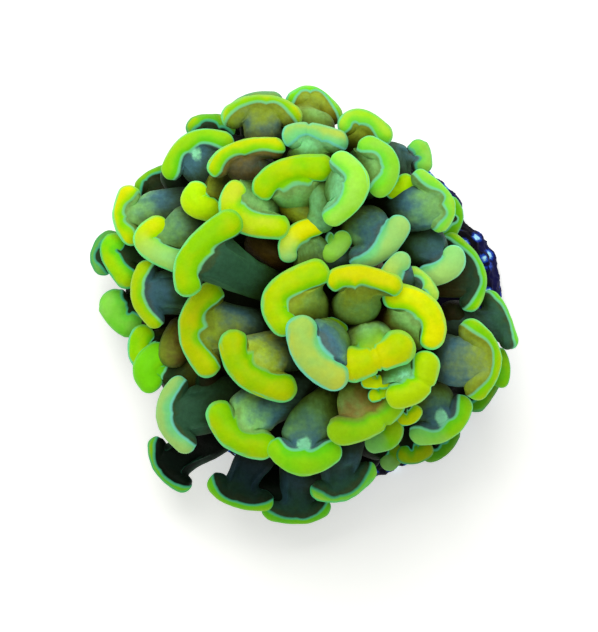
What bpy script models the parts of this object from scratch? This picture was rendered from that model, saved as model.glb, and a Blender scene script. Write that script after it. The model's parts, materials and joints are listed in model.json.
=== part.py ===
"""Hammer coral: a branching stony coral with two polyps, standing on its loose rubble disc.

Every tentacle is one closed solid: a stalk that grows from its polyp, fans out, and carries a
sausage-shaped head bent back like a hammer. Plan positions and heights are in millimetres from the
centre of the disc's flat underside; the mesh is in metres.
"""

import math
from dataclasses import dataclass

import bmesh
import bpy
import numpy as np

MM = 0.001
GAP = 0.3  # clearance between pieces that touch

# Rubble disc
DISC_RADIUS = 33.6
DISC_TOP = 7.6
DISC_SEGMENTS = 54
NOTCH_ANGLE = 31.0  # degrees; a chip is missing from the rim here
NOTCH_DEPTH = 3.2
NOTCH_WIDTH = 3.4  # degrees
DISC_PROFILE = ((1.4, 0.0), (0.2, 1.2), (0.0, 4.6), (1.8, DISC_TOP))  # inset from the rim, height
RIM_WAVES = ((0.35, 3.0, 0.4), (0.2, 7.0, 0.0))  # size, waves round the rim, phase

# Stony skeleton
TRUNK_TOP = 15.0
TRUNK_FOOT = 2.5  # height of the flare at the trunk's foot
SKELETON_SEGMENTS = 16
UNEVEN = 0.045  # how far the stone is from round, as a share of its radius
BRANCH_ROOTS = {"a": (-0.4, 13.8), "b": (2.6, 0.4)}
BRANCH_RADII = (5.6, 6.2, 8.6, 8.8)  # at its root, half way up, and under and on the cup's lip
CUP_LIP = 1.2

# Polyps
POLYP_RADIUS = 11.0
POLYP_UNDERSIDE = 5.5  # how far the flat underside lies below the dome's centre
POLYP_SEGMENTS = 18
POLYP_CENTRES = {"a": (-2.0, 19.5, 28.0), "b": (4.5, -5.0, 30.0)}
POLYP_ELEVATIONS = (0.0, 25.0, 48.0, 68.0)  # degrees above the dome's centre
MOUTH_RINGS = ((2.6, 1.7, 0.0), (1.6, 0.8, 2.2))  # half length, half width, depth below the lip
MOUTH_LIP = 0.96  # height of the lip, as a share of the dome's radius

# Tentacles
COLUMNS = 12  # vertices round a tentacle
STALK_HALF_WIDTHS = (2.2, 3.6, 4.1)  # rings at the base and along the stalk
STALK_HALF_DEPTHS = (2.2, 2.6, 2.8)
FAN_SHARE = 0.58  # half-width of the fan, as a share of the head's half-span and radius
FAN_DEPTH_SHARE = 0.98  # half-depth of the fan, as a share of the head's radius
FAN_SETBACK = 1.25  # head radii from the head's centreline back to the fan ring
STALK_LEAVES = 0.42  # how far the stalk runs straight out of the dome, as a share of its reach
STALK_MEETS = 0.34  # and how far it runs straight into the head
HEAD_ANGLES = (75.0, 33.0)  # degrees from the outer ridge to the head's last two rings
NARROWEST_STALK = 1.6  # the least half-width of a stalk that squeezes between its head's tips
HOOK_ANGLES = (112.0, 152.0)  # the ring under the head: at its middle and under its hooks


@dataclass
class Tentacle:
    """One tentacle: plan points along its head, and how the head is held."""

    number: int
    polyp: str
    tip_a: tuple[float, float]  # plan centre of one rounded end of the head
    crown: tuple[float, float]  # plan centre of the head's middle
    tip_b: tuple[float, float]
    radius: float
    height: float  # of the crown
    pitch: float  # degrees that the head points up

    @property
    def name(self):
        """The node's name."""
        return f"tentacle_{self.number:02d}"


TENTACLES = [
    Tentacle(1, "a", (-18.5, 37.0), (-13.0, 39.0), (-8.0, 37.0), 2.2, 30, -30),
    Tentacle(2, "a", (-18.5, 37.4), (-16.0, 38.9), (-12.5, 38.9), 2.2, 20, -20),
    Tentacle(3, "a", (-24.0, 34.0), (-22.0, 34.5), (-19.5, 34.0), 2.2, 22, -25),
    Tentacle(4, "a", (-30.0, 26.2), (-26.5, 31.2), (-20.5, 31.2), 1.9, 34, 10),
    Tentacle(5, "a", (-21.0, 27.5), (-17.0, 30.5), (-10.5, 31.0), 1.9, 47, 20),
    Tentacle(6, "a", (-35.5, 24.0), (-34.0, 25.5), (-31.5, 26.5), 1.7, 15, -35),
    Tentacle(7, "a", (-38.5, 21.5), (-39.5, 18.0), (-38.0, 14.5), 2.4, 27, -15),
    Tentacle(8, "a", (-42.5, 13.5), (-44.5, 11.5), (-44.0, 9.0), 1.9, 13, -25),
    Tentacle(9, "a", (-40.5, 11.0), (-40.5, 9.0), (-38.0, 5.5), 2.4, 19, 5),
    Tentacle(10, "a", (-32.5, 16.0), (-34.5, 13.0), (-29.5, 10.0), 2.2, 37, 5),
    Tentacle(11, "a", (-24.5, 22.4), (-24.8, 20.6), (-22.5, 19.4), 2.6, 40, 20),
    Tentacle(12, "b", (-18.6, 17.1), (-25.1, 11.6), (-26.1, 6.1), 2.9, 50, 10),
    Tentacle(13, "a", (-16.9, 22.5), (-16.4, 18.0), (-8.9, 16.0), 2.4, 47, 10),
    Tentacle(14, "a", (-5.5, 39.7), (-2.5, 40.2), (1.0, 37.2), 2.2, 28, -35),
    Tentacle(15, "a", (-5.5, 32.8), (-2.5, 33.3), (2.0, 31.8), 2.2, 42, 0),
    Tentacle(16, "a", (4.0, 34.2), (6.5, 34.7), (10.0, 32.2), 2.2, 34, 5),
    Tentacle(17, "a", (7.2, 31.0), (10.7, 28.0), (9.2, 24.0), 2.5, 42, 10),
    Tentacle(18, "a", (-11.3, 24.0), (-6.8, 27.0), (-0.8, 27.5), 2.8, 52, 15),
    Tentacle(19, "a", (1.7, 28.5), (4.3, 24.0), (0.2, 19.0), 2.7, 54, 30),
    Tentacle(20, "a", (17.5, 30.5), (18.0, 29.5), (18.0, 28.0), 1.9, 22, 0),
    Tentacle(22, "a", (17.5, 25.0), (22.2, 20.5), (21.0, 16.5), 1.9, 43, 0),
    Tentacle(23, "a", (23.0, 20.0), (24.0, 18.0), (23.0, 16.0), 1.7, 28, -20),
    Tentacle(24, "a", (13.5, 16.0), (10.5, 12.5), (6.5, 10.5), 2.4, 49, 20),
    Tentacle(25, "b", (-3.0, 16.0), (-7.0, 14.0), (-8.0, 11.0), 1.9, 49, 20),
    Tentacle(27, "b", (-1.8, 6.5), (-8.8, 2.5), (-7.8, -2.5), 2.8, 57, 5),
    Tentacle(28, "b", (1.5, 6.0), (5.5, 6.5), (11.5, 5.0), 2.2, 56, 10),
    Tentacle(30, "b", (16.5, 6.5), (18.5, 5.0), (19.5, 3.0), 1.6, 48, 0),
    Tentacle(31, "b", (12.8, 2.5), (18.3, 0.0), (19.3, -5.0), 2.8, 53, 15),
    Tentacle(32, "b", (-4.5, -2.7), (-3.0, -7.7), (1.5, -11.2), 2.8, 59, 25),
    Tentacle(33, "b", (12.8, -7.0), (8.8, -9.0), (4.8, -10.0), 2.9, 58, 35),
    Tentacle(34, "b", (18.5, -9.3), (17.0, -13.3), (13.5, -14.8), 2.8, 50, 10),
    Tentacle(35, "b", (3.0, -22.3), (8.5, -20.8), (12.0, -17.3), 2.6, 48, 20),
    Tentacle(36, "b", (-8.5, -26.5), (-4.0, -28.5), (1.0, -27.0), 2.8, 42, 20),
    Tentacle(37, "b", (-20.5, -20.0), (-18.0, -24.0), (-13.0, -25.5), 2.8, 40, 15),
    Tentacle(38, "b", (-18.5, -6.0), (-16.0, -11.5), (-9.5, -14.0), 2.8, 50, 20),
    Tentacle(39, "b", (-22.5, 2.5), (-26.0, -3.5), (-23.0, -10.5), 2.4, 45, 5),
    Tentacle(40, "b", (-34.5, 7.0), (-35.0, 2.5), (-33.0, -2.0), 2.4, 32, -10),
    Tentacle(41, "b", (-41.0, 0.5), (-40.0, -1.5), (-38.5, -2.5), 2.8, 13, 5),
    Tentacle(42, "b", (-32.5, -8.5), (-34.5, -11.0), (-34.0, -13.5), 2.5, 25, 15),
    Tentacle(44, "b", (-29.0, -14.0), (-30.5, -19.5), (-27.5, -24.5), 2.4, 28, -5),
    Tentacle(45, "b", (-32.5, -26.0), (-31.0, -30.0), (-27.5, -33.0), 1.9, 13, -30),
    Tentacle(46, "b", (-21.0, -33.0), (-17.5, -35.5), (-12.5, -36.0), 1.9, 18, -25),
    Tentacle(47, "b", (-10.0, -38.0), (-5.0, -39.0), (-1.0, -37.5), 1.9, 15, -25),
    Tentacle(48, "b", (-0.5, -34.0), (4.0, -34.0), (8.0, -30.5), 1.9, 22, -20),
    Tentacle(49, "b", (9.0, -24.9), (11.5, -23.9), (12.5, -22.4), 2.5, 36, 10),
    Tentacle(50, "b", (12.5, -29.0), (13.5, -28.0), (13.5, -27.0), 1.6, 18, 0),
    Tentacle(52, "b", (18.0, -22.2), (23.0, -21.2), (25.5, -17.2), 2.2, 31, 5),
    Tentacle(53, "b", (20.5, -26.5), (22.5, -25.5), (24.0, -23.0), 1.9, 15, -20),
    Tentacle(54, "b", (26.7, -5.0), (30.2, -10.0), (27.7, -15.5), 2.2, 36, -10),
    Tentacle(55, "b", (31.0, 2.0), (33.0, -1.5), (34.5, -5.5), 1.9, 25, -30),
    Tentacle(57, "b", (29.0, -17.5), (30.5, -16.0), (31.5, -14.0), 1.9, 17, -20),
    Tentacle(58, "a", (24.5, 11.0), (23.5, 9.0), (20.0, 7.5), 2.3, 41, 25),
    Tentacle(59, "a", (24.0, 14.0), (28.5, 8.5), (27.5, 3.0), 1.9, 30, -20),
]

# Tentacles that aren't lime green, by number
TONES = {
    "gold": (1, 5, 7, 10, 11, 12, 13, 18, 25, 27, 28, 31, 33, 34, 37, 38, 39, 40, 54),
    "mint": (2, 15, 24, 32, 44, 58),
    "shade": (3, 6, 8, 9, 20, 41, 45, 46, 47, 48, 50, 53, 57),
}

# Settling: how the packed tentacles are eased apart
SETTLE_ROUNDS = 320
SETTLE_EASE = 0.72  # share of each push that is taken in a round
SETTLE_STRAIGHTEN = 0.06  # share of a stalk's kink that is taken out in a round
SETTLE_GAP = 0.42  # a little over GAP, because the solids are faceted
SEARCH_MARGIN = 2.5
SEARCH_EVERY = 12
HEAD_PLAN_SLACK = 1.3  # how far a head may drift in plan
HEAD_HEIGHT_SLACK = 14.0
STALK_SAMPLES = 11
HEAD_SAMPLES = np.linspace(-1.0, 1.0, 7)
HOOKS_CLEAR = 2.2  # the stage along its own stalk that a head's hooks keep clear of
LOWEST_DIRECTION = -0.42  # sine of the lowest angle at which a tentacle leaves its dome


def unit(vector):
    """The vector, or each of several, scaled to length one."""
    return vector / np.linalg.norm(vector, axis=-1, keepdims=True)


def ellipse_ring(centre, half_x, half_y, segments, wobble=0.0):
    """A level ring of points, with a slow wobble in its radius as a share."""
    angle = np.linspace(0.0, 2.0 * math.pi, segments, endpoint=False)
    share = 1.0 + wobble * np.sin(3.0 * angle + 0.7) + 0.6 * wobble * np.sin(5.0 * angle + 2.1)
    x = centre[0] + half_x * share * np.cos(angle)
    y = centre[1] + half_y * share * np.sin(angle)
    return np.stack([x, y, np.full(segments, centre[2])], axis=1)


# ---------------------------------------------------------------- tentacle geometry


class Head:
    """The bent sausage at the end of a tentacle, as a curve with its own frame."""

    def __init__(self, tentacle, root):
        tip_a = np.array(tentacle.tip_a)
        tip_b = np.array(tentacle.tip_b)
        crown = np.array(tentacle.crown)
        pitch = math.radians(tentacle.pitch)
        across = tip_b - tip_a
        outward = unit(np.array([across[1], -across[0]]))
        if outward @ (crown - root[:2]) < 0.0:
            outward = -outward
        back = (tip_a + tip_b) / 2.0 - crown
        depth = max(-(back @ outward), 0.0) / math.cos(pitch)
        side = unit(across)
        self.radius = tentacle.radius
        self.centre = np.array([*crown, tentacle.height])
        self.outward = np.array([*(outward * math.cos(pitch)), math.sin(pitch)])
        self.half = np.array([*(across / 2.0), 0.0])
        self.side = np.array([*side, 0.0])
        self.back = self.side * (back @ side) - self.outward * depth
        self.up = np.cross(self.outward, self.side)
        if self.up[2] < 0.0:
            self.up = -self.up

    @property
    def half_span(self):
        """Half the straight distance between the two tips."""
        return float(np.linalg.norm(self.half))

    def point(self, t):
        """The centreline: a parabola through both tips and the crown, with t from -1 to 1."""
        t = np.asarray(t)[..., None]
        return self.centre + self.half * t + self.back * t**2

    def loop(self, middle_angle, end_angle):
        """A closed loop of COLUMNS points round the sausage.

        The angle is measured from the outer ridge, and it may differ between the loop's long
        sides and its two rounded ends.
        """
        ends = np.array([1, 1, 0, 0, 0, -1, -1, -1, 0, 0, 0, 1])
        t = np.array([1, 1, 0.5, 0, -0.5, -1, -1, -1, -0.5, 0, 0.5, 1], dtype=float)
        sweep = np.radians([90, 30, 0, 0, 0, 30, 90, 30, 0, 0, 0, 30])
        front = np.array([0, 1, 1, 1, 1, 1, 0, -1, -1, -1, -1, -1])
        angle = np.radians(np.where(ends != 0, end_angle, middle_angle))
        tangent = unit(self.half + 2.0 * self.back * t[:, None])
        normal = unit(self.outward - (tangent @ self.outward)[:, None] * tangent)
        level = np.cos(sweep) * np.where(front == 0, 0.0, front)
        sidestep = np.sin(sweep) * ends
        offset = (
            np.cos(angle)[:, None] * normal
            + (np.sin(angle) * level)[:, None] * self.up
            + (np.sin(angle) * sidestep)[:, None] * tangent
        )
        return self.point(t) + self.radius * offset

    def fan(self):
        """The ring where the stalk meets the head: wide, thin and bent back with the head."""
        angle = np.linspace(0.0, 2.0 * math.pi, COLUMNS, endpoint=False)
        half_width = self.fan_half_width
        across = half_width * np.cos(angle)
        share = across / max(self.half_span, half_width)
        return (
            self.fan_centre
            + np.outer(across, self.side)
            + np.outer(share**2, self.back)
            + np.outer(self.radius * FAN_DEPTH_SHARE * np.sin(angle), self.up)
        )

    @property
    def fan_half_width(self):
        """Half the width of the stalk where it meets the head."""
        return FAN_SHARE * (self.half_span + self.radius)

    @property
    def fan_centre(self):
        """The middle of the ring where the stalk meets the head."""
        return self.centre - self.outward * self.radius * FAN_SETBACK


def stalk_centres(base, base_direction, head):
    """Ring centres along a Bezier curve that leaves the dome squarely and meets the head."""
    end = head.fan_centre
    reach = np.linalg.norm(end - base)
    first = base + base_direction * STALK_LEAVES * reach
    second = end - head.outward * STALK_MEETS * reach
    t = np.array([0.0, 1.0 / 3.0, 2.0 / 3.0, 1.0])[:, None]
    return (
        (1 - t) ** 3 * base + 3 * (1 - t) ** 2 * t * first
        + 3 * (1 - t) * t**2 * second + t**3 * end
    )


def room_between_hooks(head, centre, side):
    """How far a stalk may reach to both sides of its centre before it meets the head's own tips."""
    room = math.inf
    for end in (-1.0, 1.0):
        away = head.point(end) - centre
        along = abs(away @ side)
        aside = math.sqrt(max(away @ away - along**2, 0.0))
        clear = head.radius + GAP
        if aside < clear:
            room = min(room, along - math.sqrt(clear**2 - aside**2))
    return max(room, NARROWEST_STALK)


def tentacle_rings(head, centres, base_direction):
    """All the rings of a tentacle, from its base to its outer ridge."""
    angle = np.linspace(0.0, 2.0 * math.pi, COLUMNS, endpoint=False)
    tangents = [base_direction, centres[2] - centres[0], centres[3] - centres[1]]
    rings = []
    for centre, tangent, width, depth in zip(
        centres, tangents, STALK_HALF_WIDTHS, STALK_HALF_DEPTHS
    ):
        tangent = unit(tangent)
        side = unit(head.side - (head.side @ tangent) * tangent)
        up = np.cross(tangent, side)
        if up @ head.up < 0.0:
            up = -up
        width = min(width, room_between_hooks(head, centre, side))
        ring = np.outer(width * np.cos(angle), side) + np.outer(depth * np.sin(angle), up)
        rings.append(centre + ring)
    rings.append(head.fan())
    rings.append(head.loop(*HOOK_ANGLES))
    rings.extend(head.loop(angle, angle) for angle in HEAD_ANGLES)
    return rings


# ---------------------------------------------------------------- settling


def sphere_samples(heads):
    """Spheres that fill each tentacle.

    For each: its owner, weights on its ring centres, offset and radius, and whether it is in a
    hook of the head.
    """
    owners, weights, offsets, radii, hooks = [], [], [], [], []
    stations = np.linspace(0.0, 3.0, STALK_SAMPLES)
    for owner, head in enumerate(heads):
        widths = np.array([*STALK_HALF_WIDTHS, head.fan_half_width])
        depths = np.array([*STALK_HALF_DEPTHS, head.radius * FAN_DEPTH_SHARE])
        for station in stations:
            weight = np.maximum(0.0, 1.0 - np.abs(np.arange(4) - station))
            depth = weight @ depths
            spread = max(weight @ widths - depth, 0.0)
            for side in (-1.0, 0.0, 1.0):
                owners.append(owner)
                weights.append(weight)
                offsets.append(head.side * side * spread)
                radii.append(depth)
                hooks.append(False)
        for t in HEAD_SAMPLES:
            owners.append(owner)
            weights.append(np.array([0.0, 0.0, 0.0, 1.0]))
            offsets.append(head.point(t) - head.fan_centre)
            radii.append(head.radius)
            hooks.append(abs(t) == 1.0)
    return tuple(np.array(column) for column in (owners, weights, offsets, radii, hooks))


def near_pairs(points, radii, owners, hooks, stalks):
    """Pairs of spheres that lie close together and must not touch.

    They are of different tentacles, or the hooks and the stalk of one tentacle.
    """
    first, second = [], []
    for index in range(len(points) - 1):
        reach = radii[index] + radii[index + 1:] + SETTLE_GAP + SEARCH_MARGIN
        apart = np.linalg.norm(points[index + 1:] - points[index], axis=1)
        hook_and_stalk = (hooks[index] & stalks[index + 1:]) | (stalks[index] & hooks[index + 1:])
        matters = (owners[index + 1:] != owners[index]) | hook_and_stalk
        close = np.nonzero((apart < reach) & matters)[0]
        first.append(np.full(len(close), index))
        second.append(close + index + 1)
    return np.concatenate(first), np.concatenate(second)


def obstacle_pushes(points, radii, owners, stage, home):
    """How far each sphere is pushed out of the domes and up off the disc."""
    push = np.zeros_like(points)
    for name, centre in POLYP_CENTRES.items():
        away = points - np.array(centre)
        distance = np.linalg.norm(away, axis=1)
        depth = POLYP_RADIUS + SETTLE_GAP + radii - distance
        touching = (depth > 0.0) & ((home[owners] != name) | (stage > 1.0))
        push[touching] += (away / distance[:, None] * depth[:, None])[touching]
    over_disc = np.hypot(points[:, 0], points[:, 1]) < DISC_RADIUS + radii
    floor = np.where(over_disc, DISC_TOP, 0.0) + 2.0 * SETTLE_GAP
    push[:, 2] += np.maximum(floor + radii - points[:, 2], 0.0)
    return push


def settle(tentacles):
    """Ease the tentacles apart and return each one's head, ring centres and base direction.

    Bases slide over their domes, stalks bend, and heads move mostly up or down, so that the
    plan view keeps its pattern.
    """
    domes = np.array([POLYP_CENTRES[t.polyp] for t in tentacles])
    home = np.array([t.polyp for t in tentacles])
    heads = [Head(t, dome) for t, dome in zip(tentacles, domes)]
    directions = unit(np.array([head.centre for head in heads]) - domes)
    directions[:, 2] = np.maximum(directions[:, 2], LOWEST_DIRECTION)
    directions = unit(directions)
    bases = domes + directions * (POLYP_RADIUS + GAP)
    centres = np.array([
        stalk_centres(base, direction, head)
        for base, direction, head in zip(bases, directions, heads)
    ])
    start = centres.copy()
    owners, weights, offsets, radii, hooks = sphere_samples(heads)
    stage = weights @ np.arange(4.0)
    for turn in range(SETTLE_ROUNDS):
        points = np.einsum("sk,skx->sx", weights, centres[owners]) + offsets
        if turn % SEARCH_EVERY == 0:
            first, second = near_pairs(points, radii, owners, hooks, stage < HOOKS_CLEAR)
        between = points[second] - points[first]
        distance = np.maximum(np.linalg.norm(between, axis=1), 1e-6)
        overlap = np.maximum(radii[first] + radii[second] + SETTLE_GAP - distance, 0.0)
        shove = between / distance[:, None] * (0.5 * overlap)[:, None]
        push = np.zeros_like(points)
        count = np.zeros(len(points))
        np.add.at(push, first, -shove)
        np.add.at(push, second, shove)
        np.add.at(count, first, overlap > 0.0)
        np.add.at(count, second, overlap > 0.0)
        blocked = obstacle_pushes(points, radii, owners, stage, home)
        push += blocked
        count += np.any(blocked != 0.0, axis=1)
        total = np.zeros_like(centres)
        share = np.zeros(centres.shape[:2])
        np.add.at(total, owners, weights[:, :, None] * push[:, None, :])
        np.add.at(share, owners, weights * count[:, None])
        centres += SETTLE_EASE * total / np.maximum(share, 1.0)[:, :, None]
        shift = centres - start
        shift[:, 1] += SETTLE_STRAIGHTEN * ((shift[:, 0] + shift[:, 2]) / 2.0 - shift[:, 1])
        shift[:, 2] += SETTLE_STRAIGHTEN * ((shift[:, 1] + shift[:, 3]) / 2.0 - shift[:, 2])
        plan = np.linalg.norm(shift[:, 3, :2], axis=1, keepdims=True)
        shift[:, 3, :2] *= np.minimum(1.0, HEAD_PLAN_SLACK / np.maximum(plan, 1e-6))
        shift[:, 3, 2] = np.clip(shift[:, 3, 2], -HEAD_HEIGHT_SLACK, HEAD_HEIGHT_SLACK)
        centres = start + shift
        directions = unit(centres[:, 0] - domes)
        directions[:, 2] = np.maximum(directions[:, 2], LOWEST_DIRECTION)
        directions = unit(directions)
        centres[:, 0] = domes + directions * (POLYP_RADIUS + GAP)
    for head, lift in zip(heads, centres[:, 3] - start[:, 3]):
        head.centre = head.centre + lift
    return heads, centres, directions


# ---------------------------------------------------------------- meshes


def add_object(name, mesh_builder, material):
    """Puts a finished mesh into the scene under its node's name."""
    mesh = bpy.data.meshes.new(name)
    mesh_builder.to_mesh(mesh)
    mesh_builder.free()
    mesh.materials.append(material)
    mesh.shade_smooth()
    piece = bpy.data.objects.new(name, mesh)
    bpy.context.scene.collection.objects.link(piece)
    return piece


def loft(rings, close_ridge=False):
    """A closed skin over rings of equal length. The last ring is zipped shut or capped."""
    build = bmesh.new()
    grid = [[build.verts.new(point * MM) for point in ring] for ring in rings]
    count = len(grid[0])
    for lower, upper in zip(grid, grid[1:]):
        for column in range(count):
            following = (column + 1) % count
            build.faces.new((lower[column], lower[following], upper[following], upper[column]))
    build.faces.new(list(reversed(grid[0])))
    if close_ridge:
        last = grid[-1]
        build.faces.new((last[0], last[1], last[-1]))
        for column in range(1, count // 2 - 1):
            build.faces.new((
                last[column], last[column + 1], last[count - column - 1], last[count - column]
            ))
        build.faces.new((last[count // 2 - 1], last[count // 2], last[count // 2 + 1]))
    else:
        build.faces.new(grid[-1])
    bmesh.ops.triangulate(build, faces=build.faces)
    bmesh.ops.recalc_face_normals(build, faces=build.faces)
    return build


def principled(name, colour, roughness):
    """A plain finish; nothing on the coral is metallic."""
    material = bpy.data.materials.new(name)
    material.use_nodes = True
    shader = material.node_tree.nodes["Principled BSDF"]
    shader.inputs["Base Color"].default_value = (*colour, 1.0)
    shader.inputs["Roughness"].default_value = roughness
    shader.inputs["Metallic"].default_value = 0.0
    return material


def build_disc(material):
    """A low rubble disc with a bevelled, slightly uneven rim and a chip out of it."""
    rim = np.linspace(0.0, 360.0, DISC_SEGMENTS, endpoint=False)
    away = (rim - NOTCH_ANGLE + 180.0) % 360.0 - 180.0
    notch = NOTCH_DEPTH * np.exp(-((away / NOTCH_WIDTH) ** 2))
    uneven = sum(size * np.sin(np.radians(rim) * waves + phase) for size, waves, phase in RIM_WAVES)
    rings = []
    for inset, height in DISC_PROFILE:
        radius = DISC_RADIUS - inset + uneven - notch
        x = radius * np.cos(np.radians(rim))
        y = radius * np.sin(np.radians(rim))
        rings.append(np.stack([x, y, np.full(len(rim), height)], axis=1))
    add_object("base_disc", loft(rings), material)


def build_skeleton(material):
    """The stony trunk and the two branches above its fork, each flaring to a cup."""
    foot = DISC_TOP + GAP
    trunk = [
        ellipse_ring((1.2, 6.0, foot), 9.5, 12.5, SKELETON_SEGMENTS, UNEVEN),
        ellipse_ring((1.2, 6.6, foot + TRUNK_FOOT), 7.6, 11.2, SKELETON_SEGMENTS, UNEVEN),
        ellipse_ring((1.2, 7.0, TRUNK_TOP), 7.4, 13.4, SKELETON_SEGMENTS, UNEVEN),
    ]
    add_object("skeleton_trunk", loft(trunk), material)
    for name, (x, y, z) in POLYP_CENTRES.items():
        root_x, root_y = BRANCH_ROOTS[name]
        top = z - POLYP_UNDERSIDE - GAP
        centres = (
            (root_x, root_y, TRUNK_TOP + GAP),
            ((root_x + x) / 2.0, (root_y + y) / 2.0, (TRUNK_TOP + top) / 2.0),
            (x, y, top - CUP_LIP),
            (x, y, top),
        )
        branch = [
            ellipse_ring(centre, radius, radius, SKELETON_SEGMENTS, UNEVEN)
            for centre, radius in zip(centres, BRANCH_RADII)
        ]
        add_object(f"branch_{name}", loft(branch), material)


def build_polyps(material):
    """Fleshy domes, flat underneath, with a sunken mouth at the top."""
    low = math.degrees(math.asin(-POLYP_UNDERSIDE / POLYP_RADIUS))
    for name, (x, y, z) in POLYP_CENTRES.items():
        rings = []
        for elevation in (low, *POLYP_ELEVATIONS):
            radius = POLYP_RADIUS * math.cos(math.radians(elevation))
            height = z + POLYP_RADIUS * math.sin(math.radians(elevation))
            rings.append(ellipse_ring((x, y, height), radius, radius, POLYP_SEGMENTS))
        lip = z + POLYP_RADIUS * MOUTH_LIP
        for half_length, half_width, depth in MOUTH_RINGS:
            mouth = (x, y, lip - depth)
            rings.append(ellipse_ring(mouth, half_length, half_width, POLYP_SEGMENTS))
        add_object(f"polyp_{name}", loft(rings), material)


def build_tentacles(fleshes):
    """Every tentacle, in the flesh of its tone."""
    heads, centres, directions = settle(TENTACLES)
    for tentacle, head, middle, direction in zip(TENTACLES, heads, centres, directions):
        rings = tentacle_rings(head, middle, direction)
        tone = next((name for name, numbers in TONES.items() if tentacle.number in numbers), "lime")
        add_object(tentacle.name, loft(rings, close_ridge=True), fleshes[tone])


def main():
    """Clears the scene, then builds the coral from the disc up."""
    for item in list(bpy.data.objects):
        bpy.data.objects.remove(item, do_unlink=True)
    stone = principled("coral_stone", (0.62, 0.56, 0.46), 0.85)
    rubble = principled("crusted_rubble", (0.04, 0.04, 0.16), 0.6)
    oral_disc = principled("oral_disc_flesh", (0.16, 0.17, 0.07), 0.4)
    fleshes = {
        "gold": principled("gold_flesh", (0.78, 0.84, 0.05), 0.4),
        "lime": principled("lime_flesh", (0.55, 0.82, 0.06), 0.4),
        "mint": principled("mint_flesh", (0.55, 0.80, 0.42), 0.4),
        "shade": principled("shade_flesh", (0.16, 0.38, 0.10), 0.4),
    }
    build_disc(rubble)
    build_skeleton(stone)
    build_polyps(oral_disc)
    build_tentacles(fleshes)


main()
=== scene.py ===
"""Hammer coral: the finished look of a two-polyp coral colony on its rubble disc.

Each sub-assembly is a class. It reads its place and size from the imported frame, works its skin
out with numpy, and dresses it in a procedural finish. Lengths inside the classes are in
millimetres; meshes are put in place in metres.
"""

from __future__ import annotations

import itertools
import json
import logging
import math
from dataclasses import dataclass, replace
from enum import Enum
from typing import Any

import bmesh
import bpy
import numpy as np
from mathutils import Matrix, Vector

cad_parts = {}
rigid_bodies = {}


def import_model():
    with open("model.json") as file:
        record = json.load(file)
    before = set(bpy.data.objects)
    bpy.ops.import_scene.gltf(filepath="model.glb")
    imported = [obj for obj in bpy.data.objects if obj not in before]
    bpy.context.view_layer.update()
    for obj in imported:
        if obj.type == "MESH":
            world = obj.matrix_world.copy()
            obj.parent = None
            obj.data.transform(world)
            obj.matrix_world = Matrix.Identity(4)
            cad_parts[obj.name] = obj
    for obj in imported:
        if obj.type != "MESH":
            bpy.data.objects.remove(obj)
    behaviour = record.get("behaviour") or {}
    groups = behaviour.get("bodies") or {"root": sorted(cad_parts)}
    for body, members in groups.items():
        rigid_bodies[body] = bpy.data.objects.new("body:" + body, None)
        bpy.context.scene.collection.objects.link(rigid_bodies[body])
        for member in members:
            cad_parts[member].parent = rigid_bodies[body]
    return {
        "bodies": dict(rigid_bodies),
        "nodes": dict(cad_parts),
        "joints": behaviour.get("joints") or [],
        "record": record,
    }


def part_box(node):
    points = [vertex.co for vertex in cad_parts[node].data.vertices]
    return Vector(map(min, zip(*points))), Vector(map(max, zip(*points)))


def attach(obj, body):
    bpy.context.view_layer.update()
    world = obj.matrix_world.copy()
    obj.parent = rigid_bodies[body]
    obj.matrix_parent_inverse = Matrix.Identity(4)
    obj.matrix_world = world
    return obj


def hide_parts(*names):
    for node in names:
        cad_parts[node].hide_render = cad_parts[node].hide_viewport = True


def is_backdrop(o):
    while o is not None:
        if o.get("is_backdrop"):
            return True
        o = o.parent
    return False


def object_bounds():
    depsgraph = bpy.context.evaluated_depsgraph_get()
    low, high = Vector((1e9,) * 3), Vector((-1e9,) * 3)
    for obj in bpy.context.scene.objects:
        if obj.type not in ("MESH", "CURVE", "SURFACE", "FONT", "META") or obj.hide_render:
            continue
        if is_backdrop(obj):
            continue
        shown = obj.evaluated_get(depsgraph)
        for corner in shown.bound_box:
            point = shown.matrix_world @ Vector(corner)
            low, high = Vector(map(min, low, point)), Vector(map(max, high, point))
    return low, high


MM = 0.001
WELD = 0.001  # points nearer than this many millimetres are one
Array = np.ndarray
Colour = tuple[float, float, float, float]
Settings = dict[Any, Any]
Span = tuple[float, float]

logging.basicConfig(level=logging.INFO, format="%(message)s")
log = logging.getLogger("hammer_coral")


def tint(red: float, green: float, blue: float) -> Colour:
    """A display colour, 0 to 255 a channel, as the linear colour that shaders take.

    Args:
        red: The red channel, from 0 to 255.
        green: The green channel.
        blue: The blue channel.

    Returns:
        The linear colour, opaque.
    """
    channels = np.array([red, green, blue]) / 255.0
    linear = np.where(channels <= 0.04045, channels / 12.92, ((channels + 0.055) / 1.055) ** 2.4)
    return (*(float(c) for c in linear), 1.0)


def grey(level: float) -> Colour:
    """A linear grey."""
    return (level, level, level, 1.0)


# ---------------------------------------------------------------- shader building


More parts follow.
